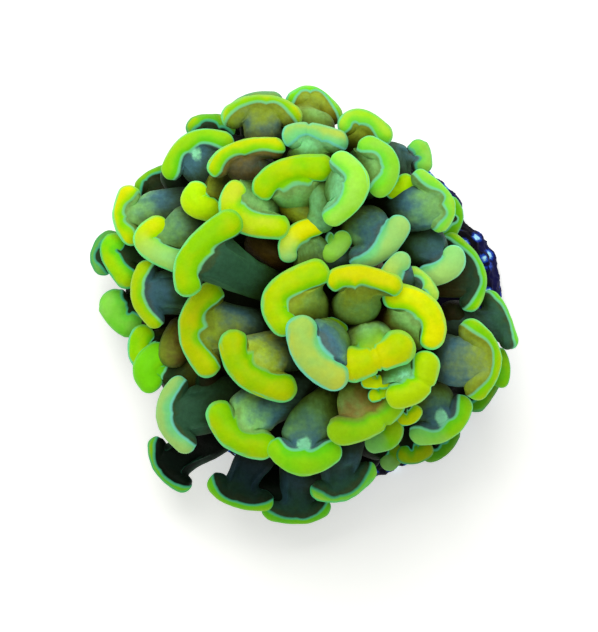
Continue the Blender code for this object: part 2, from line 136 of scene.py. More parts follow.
class Value:
    """A number socket that takes part in Python arithmetic by adding Math nodes."""

    def __init__(self, shading: Shading, socket: bpy.types.NodeSocket) -> None:
        """Wraps one output socket of the given shading's node tree."""
        self.shading = shading
        self.socket = socket

    def _math(self, operation: str, first: Any, second: Any = 0.0, clamp: bool = False) -> Value:
        """Adds one Math node.

        Args:
            operation: The node's operation.
            first: A Value or a number for its first input.
            second: A Value or a number for its second input.
            clamp: Whether the result is held between 0 and 1.

        Returns:
            The node's result.
        """
        settings = {"operation": operation, "use_clamp": clamp}
        node = self.shading.node("ShaderNodeMath", settings, {0: first, 1: second})
        return Value(self.shading, node.outputs[0])

    def __add__(self, other: Any) -> Value:
        """The sum."""
        return self._math("ADD", self, other)

    def __sub__(self, other: Any) -> Value:
        """The difference."""
        return self._math("SUBTRACT", self, other)

    def __rsub__(self, other: Any) -> Value:
        """The difference from a plain number."""
        return self._math("SUBTRACT", other, self)

    def __mul__(self, other: Any) -> Value:
        """The product."""
        return self._math("MULTIPLY", self, other)

    __radd__ = __add__
    __rmul__ = __mul__

    def clamped(self) -> Value:
        """The value held between 0 and 1."""
        return self._math("ADD", self, 0.0, clamp=True)

    def step(self, low: float, high: float) -> Value:
        """A smooth step from 0 at low to 1 at high, or down where low is the larger.

        Args:
            low: Where the step starts.
            high: Where it ends.

        Returns:
            The step.
        """
        falling = low > high
        ends = {1: min(low, high), 2: max(low, high), 3: float(falling), 4: float(not falling)}
        settings = {"interpolation_type": "SMOOTHSTEP"}
        node = self.shading.node("ShaderNodeMapRange", settings, {0: self, **ends})
        return Value(self.shading, node.outputs[0])


class Shading:
    """One material's node tree and the few ways that finishes add nodes to it."""

    def __init__(self, name: str, roughness: float = 0.5) -> None:
        """Starts a material that holds one Principled shader.

        Args:
            name: The material's name.
            roughness: The shader's roughness.
        """
        self.material = bpy.data.materials.new(name)
        self.material.use_nodes = True
        self.tree = self.material.node_tree
        self.shader = self.tree.nodes["Principled BSDF"]
        self.shader.inputs["Roughness"].default_value = roughness
        self.place = self.node("ShaderNodeTexCoord").outputs["Object"]

    def node(
        self, kind: str, settings: Settings | None = None, inputs: Settings | None = None
    ) -> bpy.types.Node:
        """Adds any node.

        Args:
            kind: The node's type name.
            settings: Its properties, set before its sockets; "stops" fills a colour ramp.
            inputs: Socket name or index to a Value, a socket or a plain value.

        Returns:
            The new node.
        """
        node = self.tree.nodes.new(kind)
        for key, value in (settings or {}).items():
            if key == "stops":
                self._fill_ramp(node.color_ramp, value)
            else:
                setattr(node, key, value)
        for key, value in (inputs or {}).items():
            self.connect(value, node.inputs[key])
        return node

    @staticmethod
    def _fill_ramp(ramp: bpy.types.ColorRamp, stops: list[tuple[float, Colour]]) -> None:
        """Gives a colour ramp its stops, as positions and colours.

        Args:
            ramp: The ramp.
            stops: Positions from 0 to 1, with their colours.
        """
        while len(ramp.elements) < len(stops):
            ramp.elements.new(0.5)
        for element, (position, colour) in zip(ramp.elements, stops):
            element.position = position
            element.color = colour

    def connect(self, value: Any, target: bpy.types.NodeSocket) -> None:
        """Links a Value or a socket to the target, or sets the target's own value.

        Args:
            value: A Value, a socket or a plain value.
            target: The input socket.
        """
        if isinstance(value, Value):
            self.tree.links.new(value.socket, target)
        elif isinstance(value, bpy.types.NodeSocket):
            self.tree.links.new(value, target)
        else:
            target.default_value = value

    def attribute(self, name: str) -> Value:
        """A number that the mesh carries at each vertex."""
        settings = {"attribute_name": name}
        return Value(self, self.node("ShaderNodeAttribute", settings).outputs["Fac"])

    def noise(self, scale: float, detail: float = 2.0, roughness: float = 0.5) -> Value:
        """Cloudy noise from 0 to 1; scale is in cycles per metre."""
        inputs = {"Vector": self.place, "Scale": scale, "Detail": detail, "Roughness": roughness}
        return Value(self, self.node("ShaderNodeTexNoise", None, inputs).outputs["Fac"])

    def cells(self, scale: float) -> Value:
        """The distance to the nearest of many scattered points, in cells; scale as for noise."""
        inputs = {"Vector": self.place, "Scale": scale}
        return Value(self, self.node("ShaderNodeTexVoronoi", None, inputs).outputs["Distance"])

    def mix(self, factor: Any, first: Any, second: Any, blend: str = "MIX") -> bpy.types.NodeSocket:
        """A colour that goes from the first to the second as factor goes from 0 to 1.

        Args:
            factor: A Value or a number.
            first: A colour or a socket.
            second: A colour or a socket.
            blend: How the second is laid over the first.

        Returns:
            The mixed colour's socket.
        """
        settings = {"data_type": "RGBA", "blend_type": blend}
        node = self.node("ShaderNodeMix", settings, {"Factor": factor, 6: first, 7: second})
        return node.outputs[2]

    def ramp(self, factor: Any, stops: list[tuple[float, Colour]]) -> bpy.types.NodeSocket:
        """A colour picked from stops along a ramp."""
        return self.node("ShaderNodeValToRGB", {"stops": stops}, {"Fac": factor}).outputs["Color"]

    def bump(self, height: Value, depth: float, strength: float) -> None:
        """Gives the shader relief from a height, scaled to depth in millimetres.

        Args:
            height: The height, of about 1 at most.
            depth: How deep a height of 1 looks, in millimetres.
            strength: How strongly the relief shows, from 0 to 1.
        """
        inputs = {"Height": height, "Distance": depth * MM, "Strength": strength}
        node = self.node("ShaderNodeBump", None, inputs)
        self.connect(node.outputs["Normal"], self.shader.inputs["Normal"])

    def times(self, first: Any, second: Any) -> bpy.types.NodeSocket:
        """The product of two colours, or of a colour and a number."""
        return self.mix(1.0, first, second, "MULTIPLY")

    def feed(self, **inputs: Any) -> None:
        """Links or sets the shader's sockets, named with underscores for spaces.

        Args:
            inputs: A Value, a socket or a plain value for each.
        """
        for name, value in inputs.items():
            socket = name.replace("_", " ").title().replace("Ior", "IOR")
            self.connect(value, self.shader.inputs[socket])


# ---------------------------------------------------------------- finishes


class Stalk(Enum):
    """Tissue colours of a tentacle's stalk, as places on the stalk colour ramp."""

    TEAL = 0.0
    SLATE = 0.2
    SAGE = 0.4
    MINT = 0.6
    OLIVE = 0.8
    UMBER = 1.0


STALK_RAMP = [
    (Stalk.TEAL.value, tint(62, 110, 80)),
    (Stalk.SLATE.value, tint(72, 116, 134)),
    (Stalk.SAGE.value, tint(130, 188, 104)),
    (Stalk.MINT.value, tint(134, 224, 154)),
    (Stalk.OLIVE.value, tint(144, 168, 44)),
    (Stalk.UMBER.value, tint(128, 112, 58)),
]


@dataclass(frozen=True)
class TentacleFlesh:
    """Velvety, faintly glowing tentacle tissue: a bright pad over the head, a darker stalk."""

    slot: str
    green: Colour  # the pad's cooler tone
    gold: Colour  # the pad's warmer tone
    edge_tone_and_flank_shade: Colour  # the pad beside its edge, and the painted shade on its flanks
    flank_sheen: Colour  # the painted sheen on the pad's flanks
    hem: Colour  # the thin line along the pad's edge, whose colour also paints the faint sheen on the stalk
    glow: float  # emission strength: a painted glow, for the tissue's fluorescence, that also flattens its shading
    border: float = 1.7  # how far the colour beside the edge reaches into the pad, in millimetres
    mint: Colour = tint(140, 216, 124)  # patches on the pad
    neck_brown_and_shade: Colour = tint(96, 92, 20)  # the olive-brown band on the stalk beside the pad: partly the tissue's colour, partly painted shade under the pad's rim
    # the pale mint of the painted highlight on the neck
    spark: Colour = tint(150, 236, 190)
    shade: Colour = (0.50, 0.38, 0.17, 1.0)  # what is left of the stalk's colour in painted shade
    dark: Colour = (0.18, 0.11, 0.025, 1.0)  # and in the painted shade deep in the gaps and at the foot

    def make(self) -> bpy.types.Material:
        """Builds the material; it reads the attributes that Tentacle's skin carries.

        Returns:
            The material.
        """
        shading = Shading(self.slot)
        edge = shading.attribute("pad_edge")
        rise = shading.attribute("facing_up")
        broad = shading.noise(170.0, 2.0)
        fine = shading.noise(1100.0, 3.0, 0.6)
        sky = shading.attribute("open_sky")
        inside = edge.step(0.2, 2.2)
        warmth = shading.attribute("pad_warmth") + (broad - 0.5) * 1.8 + (inside - 0.7) * 0.6
        pad = shading.mix(warmth.clamped(), self.green, self.gold)
        beside = (edge + (broad - 0.5) * 2.0).step(self.border, 0.0)
        pad = shading.mix(beside * 0.8, pad, self.edge_tone_and_flank_shade)
        # Painted shade: the pad turns to its darker edge tone on flanks that face away from the
        # light above
        pad = shading.mix((rise + (broad - 0.5) * 0.3).step(0.74, 0.30) * 0.5, pad, self.edge_tone_and_flank_shade)
        mint = (shading.attribute("pad_mint") + (broad - 0.5) * 1.2 * inside).clamped()
        mint = mint * shading.attribute("pad_mint").step(0.0, 0.3)
        pad = shading.mix(mint, pad, self.mint)
        # Painted sheen: a mint rim on the pad's flanks, strongest on one side
        sheen_side = shading.attribute("facing_cool").step(-0.6, 0.5) * 0.75 + 0.25
        rim = (rise + (broad - 0.5) * 0.15).step(0.66, 0.36) * rise.step(-0.6, -0.1) * sheen_side
        pad = shading.mix(rim, pad, self.flank_sheen)
        light = shading.attribute("pad_light") * (0.88 + fine * 0.24)
        # Painted shade: pads are darker where little open sky is over them
        light = light * (sky.step(0.25, 0.85) * 0.52 + 0.54)
        pad = shading.times(pad, light)
        stalk = self._stalk(shading, fine, rim)
        wander = edge + (fine - 0.5) * 0.16
        sharp = shading.attribute("edge_sharp")
        on_pad = (wander * sharp + 0.5).clamped()
        hem = wander.step(-0.34, -0.02) * wander.step(0.50, 0.10) * sharp.step(0.3, 3.5)
        colour = shading.mix(hem * 0.75, shading.mix(on_pad, stalk, pad), self.hem)
        # Painted glow: the pad's base colour is cut to 0.6 and its emission carries the rest; the
        # stalk glows at a fifth of its colour
        share = shading.mix(on_pad, grey(1.0), grey(0.6))
        dim = shading.times(colour, grey(0.2))
        shading.feed(base_color=shading.times(colour, share))
        shading.feed(emission_color=shading.mix(on_pad, dim, colour))
        shading.feed(
            roughness=0.46 + fine * 0.2, emission_strength=self.glow, specular_ior_level=0.07,
            subsurface_weight=0.1, subsurface_scale=0.8 * MM, subsurface_radius=(0.8, 1.0, 0.5),
        )
        shading.bump(fine * 0.6 + shading.noise(2800.0, 2.0), depth=0.12, strength=0.5)
        return shading.material

    def _stalk(self, shading: Shading, fine: Value, rim: Value) -> bpy.types.NodeSocket:
        """The stalk's colour.

        One tint near the pad gives way to another in clouds, with a painted highlight and an
        olive-brown band, partly painted shade, beside the pad; painted shade darkens the gaps and
        the foot.

        Args:
            shading: The material in the making.
            fine: Its fine noise.
            rim: The painted sheen on the pad's flanks, as a mask.

        Returns:
            The colour's socket.
        """
        near = shading.ramp(shading.attribute("stalk_near"), STALK_RAMP)
        deep = shading.ramp(shading.attribute("stalk_deep"), STALK_RAMP)
        clouds = shading.noise(300.0, 3.0, 0.6)
        edge = shading.attribute("pad_edge")
        stalk = shading.mix((edge + (clouds - 0.5) * 9.0).step(-8.0, -0.5), deep, near)
        # Olive-brown band just below the pad's edge: partly tissue colour, partly painted shade
        # under the pad's rim
        shaded_neck_band = (edge + (clouds - 0.5) * 4.0).step(-1.6, -0.2)
        stalk = shading.mix(shaded_neck_band * 0.4, stalk, self.neck_brown_and_shade)
        # Painted highlight: a pale mint patch on the neck, broken up by fine noise
        spark = (shading.attribute("spark") * (0.3 + fine * 1.5)).step(0.25, 0.9)
        stalk = shading.mix(spark, stalk, self.spark)
        light = shading.attribute("stalk_light") * (0.66 + fine * 0.7)
        stalk = shading.times(stalk, light)
        # Painted sheen: a faint rim of the hem's colour on the stalk's flanks
        stalk = shading.mix(rim * 0.12, stalk, self.hem)
        # Painted shade: the stalk darkens where little open sky is over it, to near black deep in
        # the gaps
        sky = shading.attribute("open_sky") + (clouds - 0.5) * 0.2
        shade = shading.times(stalk, self.shade)
        stalk = shading.mix(sky.step(0.42, 0.86), shade, stalk)
        gap_shade = shading.times(stalk, self.dark)
        stalk = shading.mix(sky.step(0.12, 0.54), gap_shade, stalk)
        # Painted shade: the stalk's foot goes near black
        return shading.mix(shading.attribute("stalk_reach").step(0.0, 0.3), gap_shade, stalk)


FLESHES = [
    TentacleFlesh(
        "gold_flesh", tint(148, 218, 0), tint(216, 220, 0), tint(118, 206, 8),
        tint(118, 234, 134), tint(128, 216, 156), glow=0.40,
    ),
    TentacleFlesh(
        "lime_flesh", tint(140, 232, 2), tint(208, 236, 0), tint(104, 216, 26),
        tint(112, 236, 156), tint(124, 222, 172), glow=0.40,
    ),
    TentacleFlesh(
        "mint_flesh", tint(150, 216, 106), tint(204, 214, 64), tint(104, 214, 140),
        tint(118, 226, 184), tint(120, 216, 196), glow=0.40, border=2.2,
    ),
    # A darker, greener copy of the flesh for the tentacles on the side away from the key light,
    # painted as shade
    TentacleFlesh(
        "shade_flesh", tint(106, 206, 10), tint(182, 210, 0), tint(96, 196, 30),
        tint(76, 196, 104), tint(76, 186, 146), glow=0.36,
    ),
]


@dataclass(frozen=True)
class OralDiscFlesh:
    """The polyp's dome: dark olive-brown tissue in radial folds, with a green bloom."""

    slot: str = "oral_disc_flesh"
    valley: Colour = tint(12, 9, 2)
    fold: Colour = tint(52, 44, 10)
    bloom: Colour = tint(26, 36, 14)

    def make(self) -> bpy.types.Material:
        """Builds the material; it reads the attribute dome_fold.

        Returns:
            The material.
        """
        shading = Shading(self.slot, roughness=0.45)
        fold = shading.attribute("dome_fold")
        broad = shading.noise(260.0, 3.0)
        colour = shading.mix(fold.step(0.2, 0.9), self.valley, self.fold)
        colour = shading.mix(broad.step(0.45, 0.7) * 0.5, colour, self.bloom)
        shading.feed(base_color=colour, subsurface_weight=0.1, subsurface_scale=0.6 * MM)
        shading.bump(shading.noise(1500.0, 3.0) * 0.6 + fold * 0.5, depth=0.2, strength=0.6)
        return shading.material


@dataclass(frozen=True)
class CoralStone:
    """Matt limestone, cream on its ribs and darker brown in the grooves between them, with green
    stains.
    """

    slot: str = "coral_stone"
    groove: Colour = tint(92, 78, 52)
    rib: Colour = tint(206, 194, 164)
    stain: Colour = tint(84, 92, 58)
    grit: Colour = tint(60, 48, 34)
    pore: Colour = tint(40, 32, 22)

    def make(self) -> bpy.types.Material:
        """Builds the material; it reads the attribute rib_height.

        Returns:
            The material.
        """
        shading = Shading(self.slot, roughness=0.85)
        rib = shading.attribute("rib_height")
        stain = shading.noise(140.0, 4.0, 0.6)
        grain = shading.noise(1600.0, 4.0, 0.7)
        colour = shading.mix(rib.step(0.15, 0.85), self.groove, self.rib)
        colour = shading.mix(stain.step(0.48, 0.68) * 0.7, colour, self.stain)
        colour = shading.mix(grain.step(0.45, 0.8) * 0.35, colour, self.grit)
        pores = shading.cells(1500.0).step(0.0, 0.42)
        colour = shading.mix(pores, shading.mix(0.6, colour, self.pore), colour)
        shading.feed(base_color=colour, roughness=0.74 + grain * 0.25)
        shading.bump(grain * 0.5 + pores * 0.6, depth=0.3, strength=0.8)
        return shading.material


@dataclass(frozen=True)
class CrustedRubble:
    """Dark navy crust, with a painted blue rim light along its outer rim and scattered pale blue
    specks.
    """

    slot: str = "crusted_rubble"
    crust: Colour = tint(4, 3, 10)
    bloom: Colour = tint(9, 5, 26)
    rim: Colour = tint(18, 16, 84)
    halo: Colour = tint(24, 70, 190)
    speck: Colour = tint(170, 232, 255)

    def make(self) -> bpy.types.Material:
        """Builds the material; it reads the attribute rim_bright.

        Returns:
            The material.
        """
        shading = Shading(self.slot, roughness=0.55)
        rim = shading.attribute("rim_bright")
        broad = shading.noise(220.0, 3.0)
        grain = shading.noise(1800.0, 3.0, 0.6)
        body = shading.mix(broad.step(0.35, 0.7), self.crust, self.bloom)
        # Painted rim light: the outer rim turns blue, brightest on one side
        body = shading.mix(rim.step(0.9, 1.0) * 0.6, body, self.rim)
        specks = shading.cells(330.0) + (grain - 0.5) * 0.3
        crowd = (rim * 0.6 + broad * 0.5).step(0.36, 0.66)
        colour = shading.mix(specks.step(0.50, 0.34) * crowd, body, self.halo)
        speck = specks.step(0.38, 0.26) * crowd
        colour = shading.mix(speck, colour, self.speck)
        # Painted glow: the crust emits its own colour
        shading.feed(base_color=colour, emission_color=colour, roughness=0.5 + grain * 0.3)
        shading.feed(emission_strength=0.25, specular_ior_level=0.12)
        shading.bump(grain * 0.5 + broad * 0.4 + speck * 0.6, depth=0.4, strength=0.7)
        return shading.material


class Wardrobe:
    """Every finish, made once and kept by its record slot."""

    def __init__(self) -> None:
        """Makes the materials."""
        finishes = [*FLESHES, OralDiscFlesh(), CoralStone(), CrustedRubble()]
        self.materials = {finish.slot: finish.make() for finish in finishes}

    def dress(self, piece: bpy.types.Object, slot: str, nodes: list[str]) -> None:
        """Gives a piece its finish and its place in the frame.

        Args:
            piece: The finished object.
            slot: The record slot it takes its finish from.
            nodes: The CAD nodes it stands for.
        """
        piece.data.materials.append(self.materials[slot])
        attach(piece, "root")
        if nodes:
            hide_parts(*nodes)


# ---------------------------------------------------------------- surface tools


def unit(vectors: Array) -> Array:
    """Vectors scaled to length one along their last axis."""
    return vectors / np.maximum(np.linalg.norm(vectors, axis=-1, keepdims=True), 1e-12)


def heading(angle: float) -> Array:
    """The unit vector in plan at an angle from +X, in radians."""
    return np.array([math.cos(angle), math.sin(angle)])


def smooth_step(low: float, high: float, x: Array) -> Array:
    """The curve 3t² - 2t³, where t is x's share of the way from low to high."""
    t = np.clip((x - low) / (high - low), 0.0, 1.0)
    return t * t * (3.0 - 2.0 * t)


def bell(x: Array, middle: float, width: float, power: float = 2.0) -> Array:
    """The bell curve exp(-|(x - middle) / width|^power)."""
    return np.exp(-(np.abs((x - middle) / width) ** power))


def cubic(knots: Array, rows: Array, at: Array) -> Array:
    """A smooth curve through rows of points.

    Between two knots it is the Hermite cubic whose slopes are three-point differences. The
    first and last rows only steer the slopes.

    Args:
        knots: Increasing parameters, one for each row.
        rows: Points, with the rows along the first axis.
        at: Parameters from the second knot to the last but one.

    Returns:
        The points at those parameters.
    """
    gaps = np.diff(knots)
    shape = (-1,) + (1,) * (rows.ndim - 1)
    slopes = np.diff(rows, axis=0) / gaps.reshape(shape)
    before, after = gaps[:-1].reshape(shape), gaps[1:].reshape(shape)
    tangents = (slopes[:-1] * after + slopes[1:] * before) / (before + after)
    index = np.clip(np.searchsorted(knots, at, side="right") - 1, 1, len(knots) - 3)
    gap = gaps[index].reshape(shape)
    t = ((at - knots[index]) / gaps[index]).reshape(shape)
    return (
        (2 * t**3 - 3 * t**2 + 1) * rows[index]
        + (t**3 - 2 * t**2 + t) * gap * tangents[index - 1]
        + (3 * t**2 - 2 * t**3) * rows[index + 1]
        + (t**3 - t**2) * gap * tangents[index]
    )


def extended(rows: Array) -> Array:
    """The rows with one more beyond each end, straight on from the two beside it."""
    return np.concatenate([2 * rows[:1] - rows[1:2], rows, 2 * rows[-1:] - rows[-2:-1]])


def straight(knots: Array, rows: Array, at: Array) -> Array:
    """Rows of points joined straight: the row before, plus the slope times the way past it.

    Args:
        knots: Increasing parameters, one for each row.
        rows: Points, by row and by column.
        at: Parameters from the first knot to the last.

    Returns:
        The rows at those parameters.
    """
    index = np.clip(np.searchsorted(knots, at, side="right") - 1, 0, len(knots) - 2)
    slopes = np.diff(rows, axis=0) / np.diff(knots)[:, None, None]
    return rows[index] + slopes[index] * (at - knots[index])[:, None, None]


def round_rings(rings: Array, at: Array) -> Array:
    """Smooth closed curves through the columns of each ring.

    Args:
        rings: Points, by ring and by column.
        at: Places round the rings, in columns from the first.

    Returns:
        The rings with one column at each place.
    """
    columns = np.swapaxes(np.concatenate([rings[:, -1:], rings, rings[:, :2]], axis=1), 0, 1)
    return np.swapaxes(cubic(np.arange(float(len(columns))), columns, at + 1.0), 0, 1)


def even_rings(node: bpy.types.Object, around: int) -> Array:
    """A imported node's level rings, smoothed and resampled to so many even columns."""
    rings = level_rings(node)
    return round_rings(rings, np.linspace(0.0, float(rings.shape[1]), around, endpoint=False))


def arc_knots(rows: Array) -> Array:
    """How far each row of points is from the first, by the mean length of the steps between."""
    steps = np.linalg.norm(np.diff(rows, axis=0), axis=2).mean(axis=1)
    return np.concatenate([[0.0], np.cumsum(steps)])


def lumps(points: Array, seed: int, wavelength: float, waves: int = 10) -> Array:
    """Gentle lumps between about -1 and 1: a sum of sine waves in seeded directions.

    Args:
        points: Positions in millimetres, along the last axis.
        seed: Which lumps.
        wavelength: Their mean size in millimetres.
        waves: How many waves are added.

    Returns:
        One number for each point.
    """
    random = np.random.default_rng(seed)
    directions = unit(random.normal(size=(waves, 3)))
    numbers = 2.0 * math.pi / (wavelength * random.uniform(0.7, 1.5, waves))
    phases = random.uniform(0.0, 2.0 * math.pi, waves)
    sines = np.sin(points @ (directions * numbers[:, None]).T + phases)
    return sines.sum(axis=-1) / math.sqrt(waves)


def grid_normals(grid: Array) -> Array:
    """Unit normals of a grid that closes round its second axis.

    Args:
        grid: Points, by row and by column.

    Returns:
        A unit vector for each point.
    """
    along = np.gradient(grid, axis=0)
    around = (np.roll(grid, -1, axis=1) - np.roll(grid, 1, axis=1)) / 2.0
    return unit(np.cross(around, along))


@dataclass
class Skin:
    """A closed mesh in the making: points in millimetres, faces, and numbers for shaders."""

    name: str
    points: Array
    faces: list[list[int]]
    numbers: dict[str, Array]

    def attach(self) -> bpy.types.Object:
        """Makes the object, with smooth faces that point outwards.

        Returns:
            The new object.
        """
        mesh = bpy.data.meshes.new(self.name)
        mesh.from_pydata(self.points * MM, [], self.faces)
        for name, values in self.numbers.items():
            attribute = mesh.attributes.new(name, "FLOAT", "POINT")
            attribute.data.foreach_set("value", values.astype(np.float32).ravel())
        build = bmesh.new()
        build.from_mesh(mesh)
        if build.calc_volume(signed=True) < 0.0:
            bmesh.ops.reverse_faces(build, faces=build.faces)
        build.to_mesh(mesh)
        build.free()
        mesh.shade_smooth()
        mesh.validate()
        piece = bpy.data.objects.new(self.name, mesh)
        bpy.context.scene.collection.objects.link(piece)
        return piece


def joined_skin(name: str, skins: list[Skin]) -> Skin:
    """Several closed skins as one, each keeping its own points and numbers.

    Args:
        name: The new skin's name.
        skins: The skins, which carry the same numbers.

    Returns:
        The skin.
    """
    faces: list[list[int]] = []
    start = 0
    for skin in skins:
        faces += [[start + corner for corner in face] for face in skin.faces]
        start += len(skin.points)
    numbers = {
        key: np.concatenate([skin.numbers[key] for skin in skins]) for key in skins[0].numbers
    }
    return Skin(name, np.concatenate([skin.points for skin in skins]), faces, numbers)


def grid_faces(rows: int, columns: int) -> Array:
    """Quads of a grid that closes round its second axis, as vertex numbers.

    Args:
        rows: The grid's rows.
        columns: Its columns.

    Returns:
        Four vertex numbers for each quad.
    """
    row, column = np.meshgrid(np.arange(rows - 1), np.arange(columns), indexing="ij")
    here, beside = row * columns + column, row * columns + (column + 1) % columns
    quads = np.stack([here, beside, beside + columns, here + columns], axis=-1)
    return quads.reshape(-1, 4)


def capped_skin(name: str, grid: Array, numbers: dict[str, Array]) -> Skin:
    """A skin over a grid that closes round its second axis, with both ends capped.

    Args:
        name: The skin's name.
        grid: Points, by row and by column.
        numbers: What its finish reads, by name.

    Returns:
        The closed skin.
    """
    rows, columns = grid.shape[:2]
    faces = grid_faces(rows, columns).tolist()
    faces.append(list(range(columns))[::-1])
    faces.append(list(range((rows - 1) * columns, rows * columns)))
    return Skin(name, grid.reshape(-1, 3), faces, numbers)


def merged_mesh(node: bpy.types.Object) -> tuple[Array, Array]:
    """A CAD node's points in millimetres and its triangles, from a copy with its doubles merged.

    Args:
        node: The node's object.

    Returns:
        Its points and its triangles.
    """
    build = bmesh.new()
    build.from_mesh(node.data)
    bmesh.ops.remove_doubles(build, verts=build.verts, dist=WELD * MM)
    build.verts.ensure_lookup_table()
    points = np.array([vertex.co for vertex in build.verts], float) / MM
    triangles = np.array([[vertex.index for vertex in face.verts] for face in build.faces])
    build.free()
    return points, triangles


# ---------------------------------------------------------------- tentacles

CAGE_ANGLES = (33.0, 75.0)  # degrees from the ridge to a packed head's last two rings
RING_POINTS = 12  # points in each ring of a packed tentacle
STALK_RINGS = 4  # its rings below the head


@dataclass
class Cage:
    """The rings of a packed tentacle, read back in order from its loose triangles."""

    columns: int = RING_POINTS
    flatness: float = 0.9995  # the least cosine between the normals of two flush triangles
    play: float = 0.02  # how far apart their planes may be

    def read(self, node: bpy.types.Object) -> Array:
        """The node's rings.

        Args:
            node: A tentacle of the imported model.

        Returns:
            Points by ring, from base to outer ridge, and by column. Column 0 and the middle
            column are the two ends of the head, and the columns between them are its upper side.
        """
        points, triangles = merged_mesh(node)
        cap = self._base_cap(points, triangles)
        layer = self._layers(len(points), triangles, np.unique(triangles[cap]))
        if (np.bincount(layer) != self.columns).any():
            raise ValueError(f"{node.name} isn't made of rings of {self.columns} points")
        last = layer.max()
        ridge = (layer[triangles] == last).all(axis=1)
        sides = triangles[~cap & ~ridge]
        rings = [self._cycle(sides, layer, level) for level in range(last + 1)]
        rings = self._align(points, sides, rings)
        turns = np.bincount(triangles[ridge].ravel(), minlength=len(points))
        start = int(np.argmin(turns[rings[-1]]))
        order = [np.roll(ring, -start) for ring in rings]
        grid = points[np.array(order)]
        half = self.columns // 2
        if grid[-1, 1:half, 2].mean() < grid[-1, half + 1:, 2].mean():
            grid = np.concatenate([grid[:, :1], grid[:, :0:-1]], axis=1)
        return grid

    def _base_cap(self, points: Array, triangles: Array) -> Array:
        """Marks the triangles of the flat base: the largest group that shares one plane.

        Args:
            points: The node's points.
            triangles: Its triangles.

        Returns:
            True for each triangle of the base.
        """
        corners = points[triangles]
        normals = unit(np.cross(corners[:, 1] - corners[:, 0], corners[:, 2] - corners[:, 0]))
        offsets = (normals * corners[:, 0]).sum(axis=1)
        same = normals @ normals.T > self.flatness
        same &= abs(offsets[:, None] - offsets) < self.play
        return same[int(np.argmax(same.sum(axis=1)))]

    @staticmethod
    def _layers(count: int, triangles: Array, base: Array) -> Array:
        """How many edges each point is from the base ring.

        Args:
            count: How many points there are.
            triangles: Their triangles.
            base: The base ring's points.

        Returns:
            One number for each point.
        """
        layer = np.full(count, -1)
        layer[base] = 0
        for level in range(count // len(base)):
            touched = np.unique(triangles[(layer[triangles] == level).any(axis=1)])
            layer[touched[layer[touched] < 0]] = level + 1
        return layer

    @staticmethod
    def _cycle(sides: Array, layer: Array, level: int) -> Array:
        """One ring's points in order, walked along the side edges that lie in it.

        Args:
            sides: The triangles between the two ends.
            layer: Each point's ring.
            level: Which ring is walked.

        Returns:
            The ring's points.
        """
        edges = np.concatenate([sides[:, [0, 1]], sides[:, [1, 2]], sides[:, [2, 0]]])
        edges = edges[(layer[edges] == level).all(axis=1)]
        beside: dict[int, set[int]] = {}
        for first, second in edges.tolist():
            beside.setdefault(first, set()).add(second)
            beside.setdefault(second, set()).add(first)
        start = min(beside)
        ring, following = [start], min(beside[start])
        while following != start:
            ring.append(following)
            following = next(p for p in beside[following] if p != ring[-2])
        return np.array(ring)

    def _align(self, points: Array, sides: Array, rings: list[Array]) -> list[Array]:
        """Turns each ring so that its columns follow the ring below it.

        A column is an edge of the mesh, so only turns whose pairs are all edges count, and the
        shortest of those is the right one.

        Args:
            points: The node's points.
            sides: The triangles between the two ends.
            rings: The rings' points, from the base up.

        Returns:
            The rings, turned.
        """
        joined = set()
        for a, b, c in sides.tolist():
            joined.update({(a, b), (b, a), (b, c), (c, b), (c, a), (a, c)})
        aligned = [rings[0]]
        for ring in rings[1:]:
            choices = []
            for turned in (ring, ring[::-1]):
                for shift in range(self.columns):
                    trial = np.roll(turned, shift)
                    pairs = list(zip(aligned[-1].tolist(), trial.tolist()))
                    if all(pair in joined for pair in pairs):
                        gaps = points[trial] - points[aligned[-1]]
                        choices.append((float(np.linalg.norm(gaps, axis=1).sum()), trial))
            aligned.append(min(choices, key=lambda choice: choice[0])[1])
        return aligned


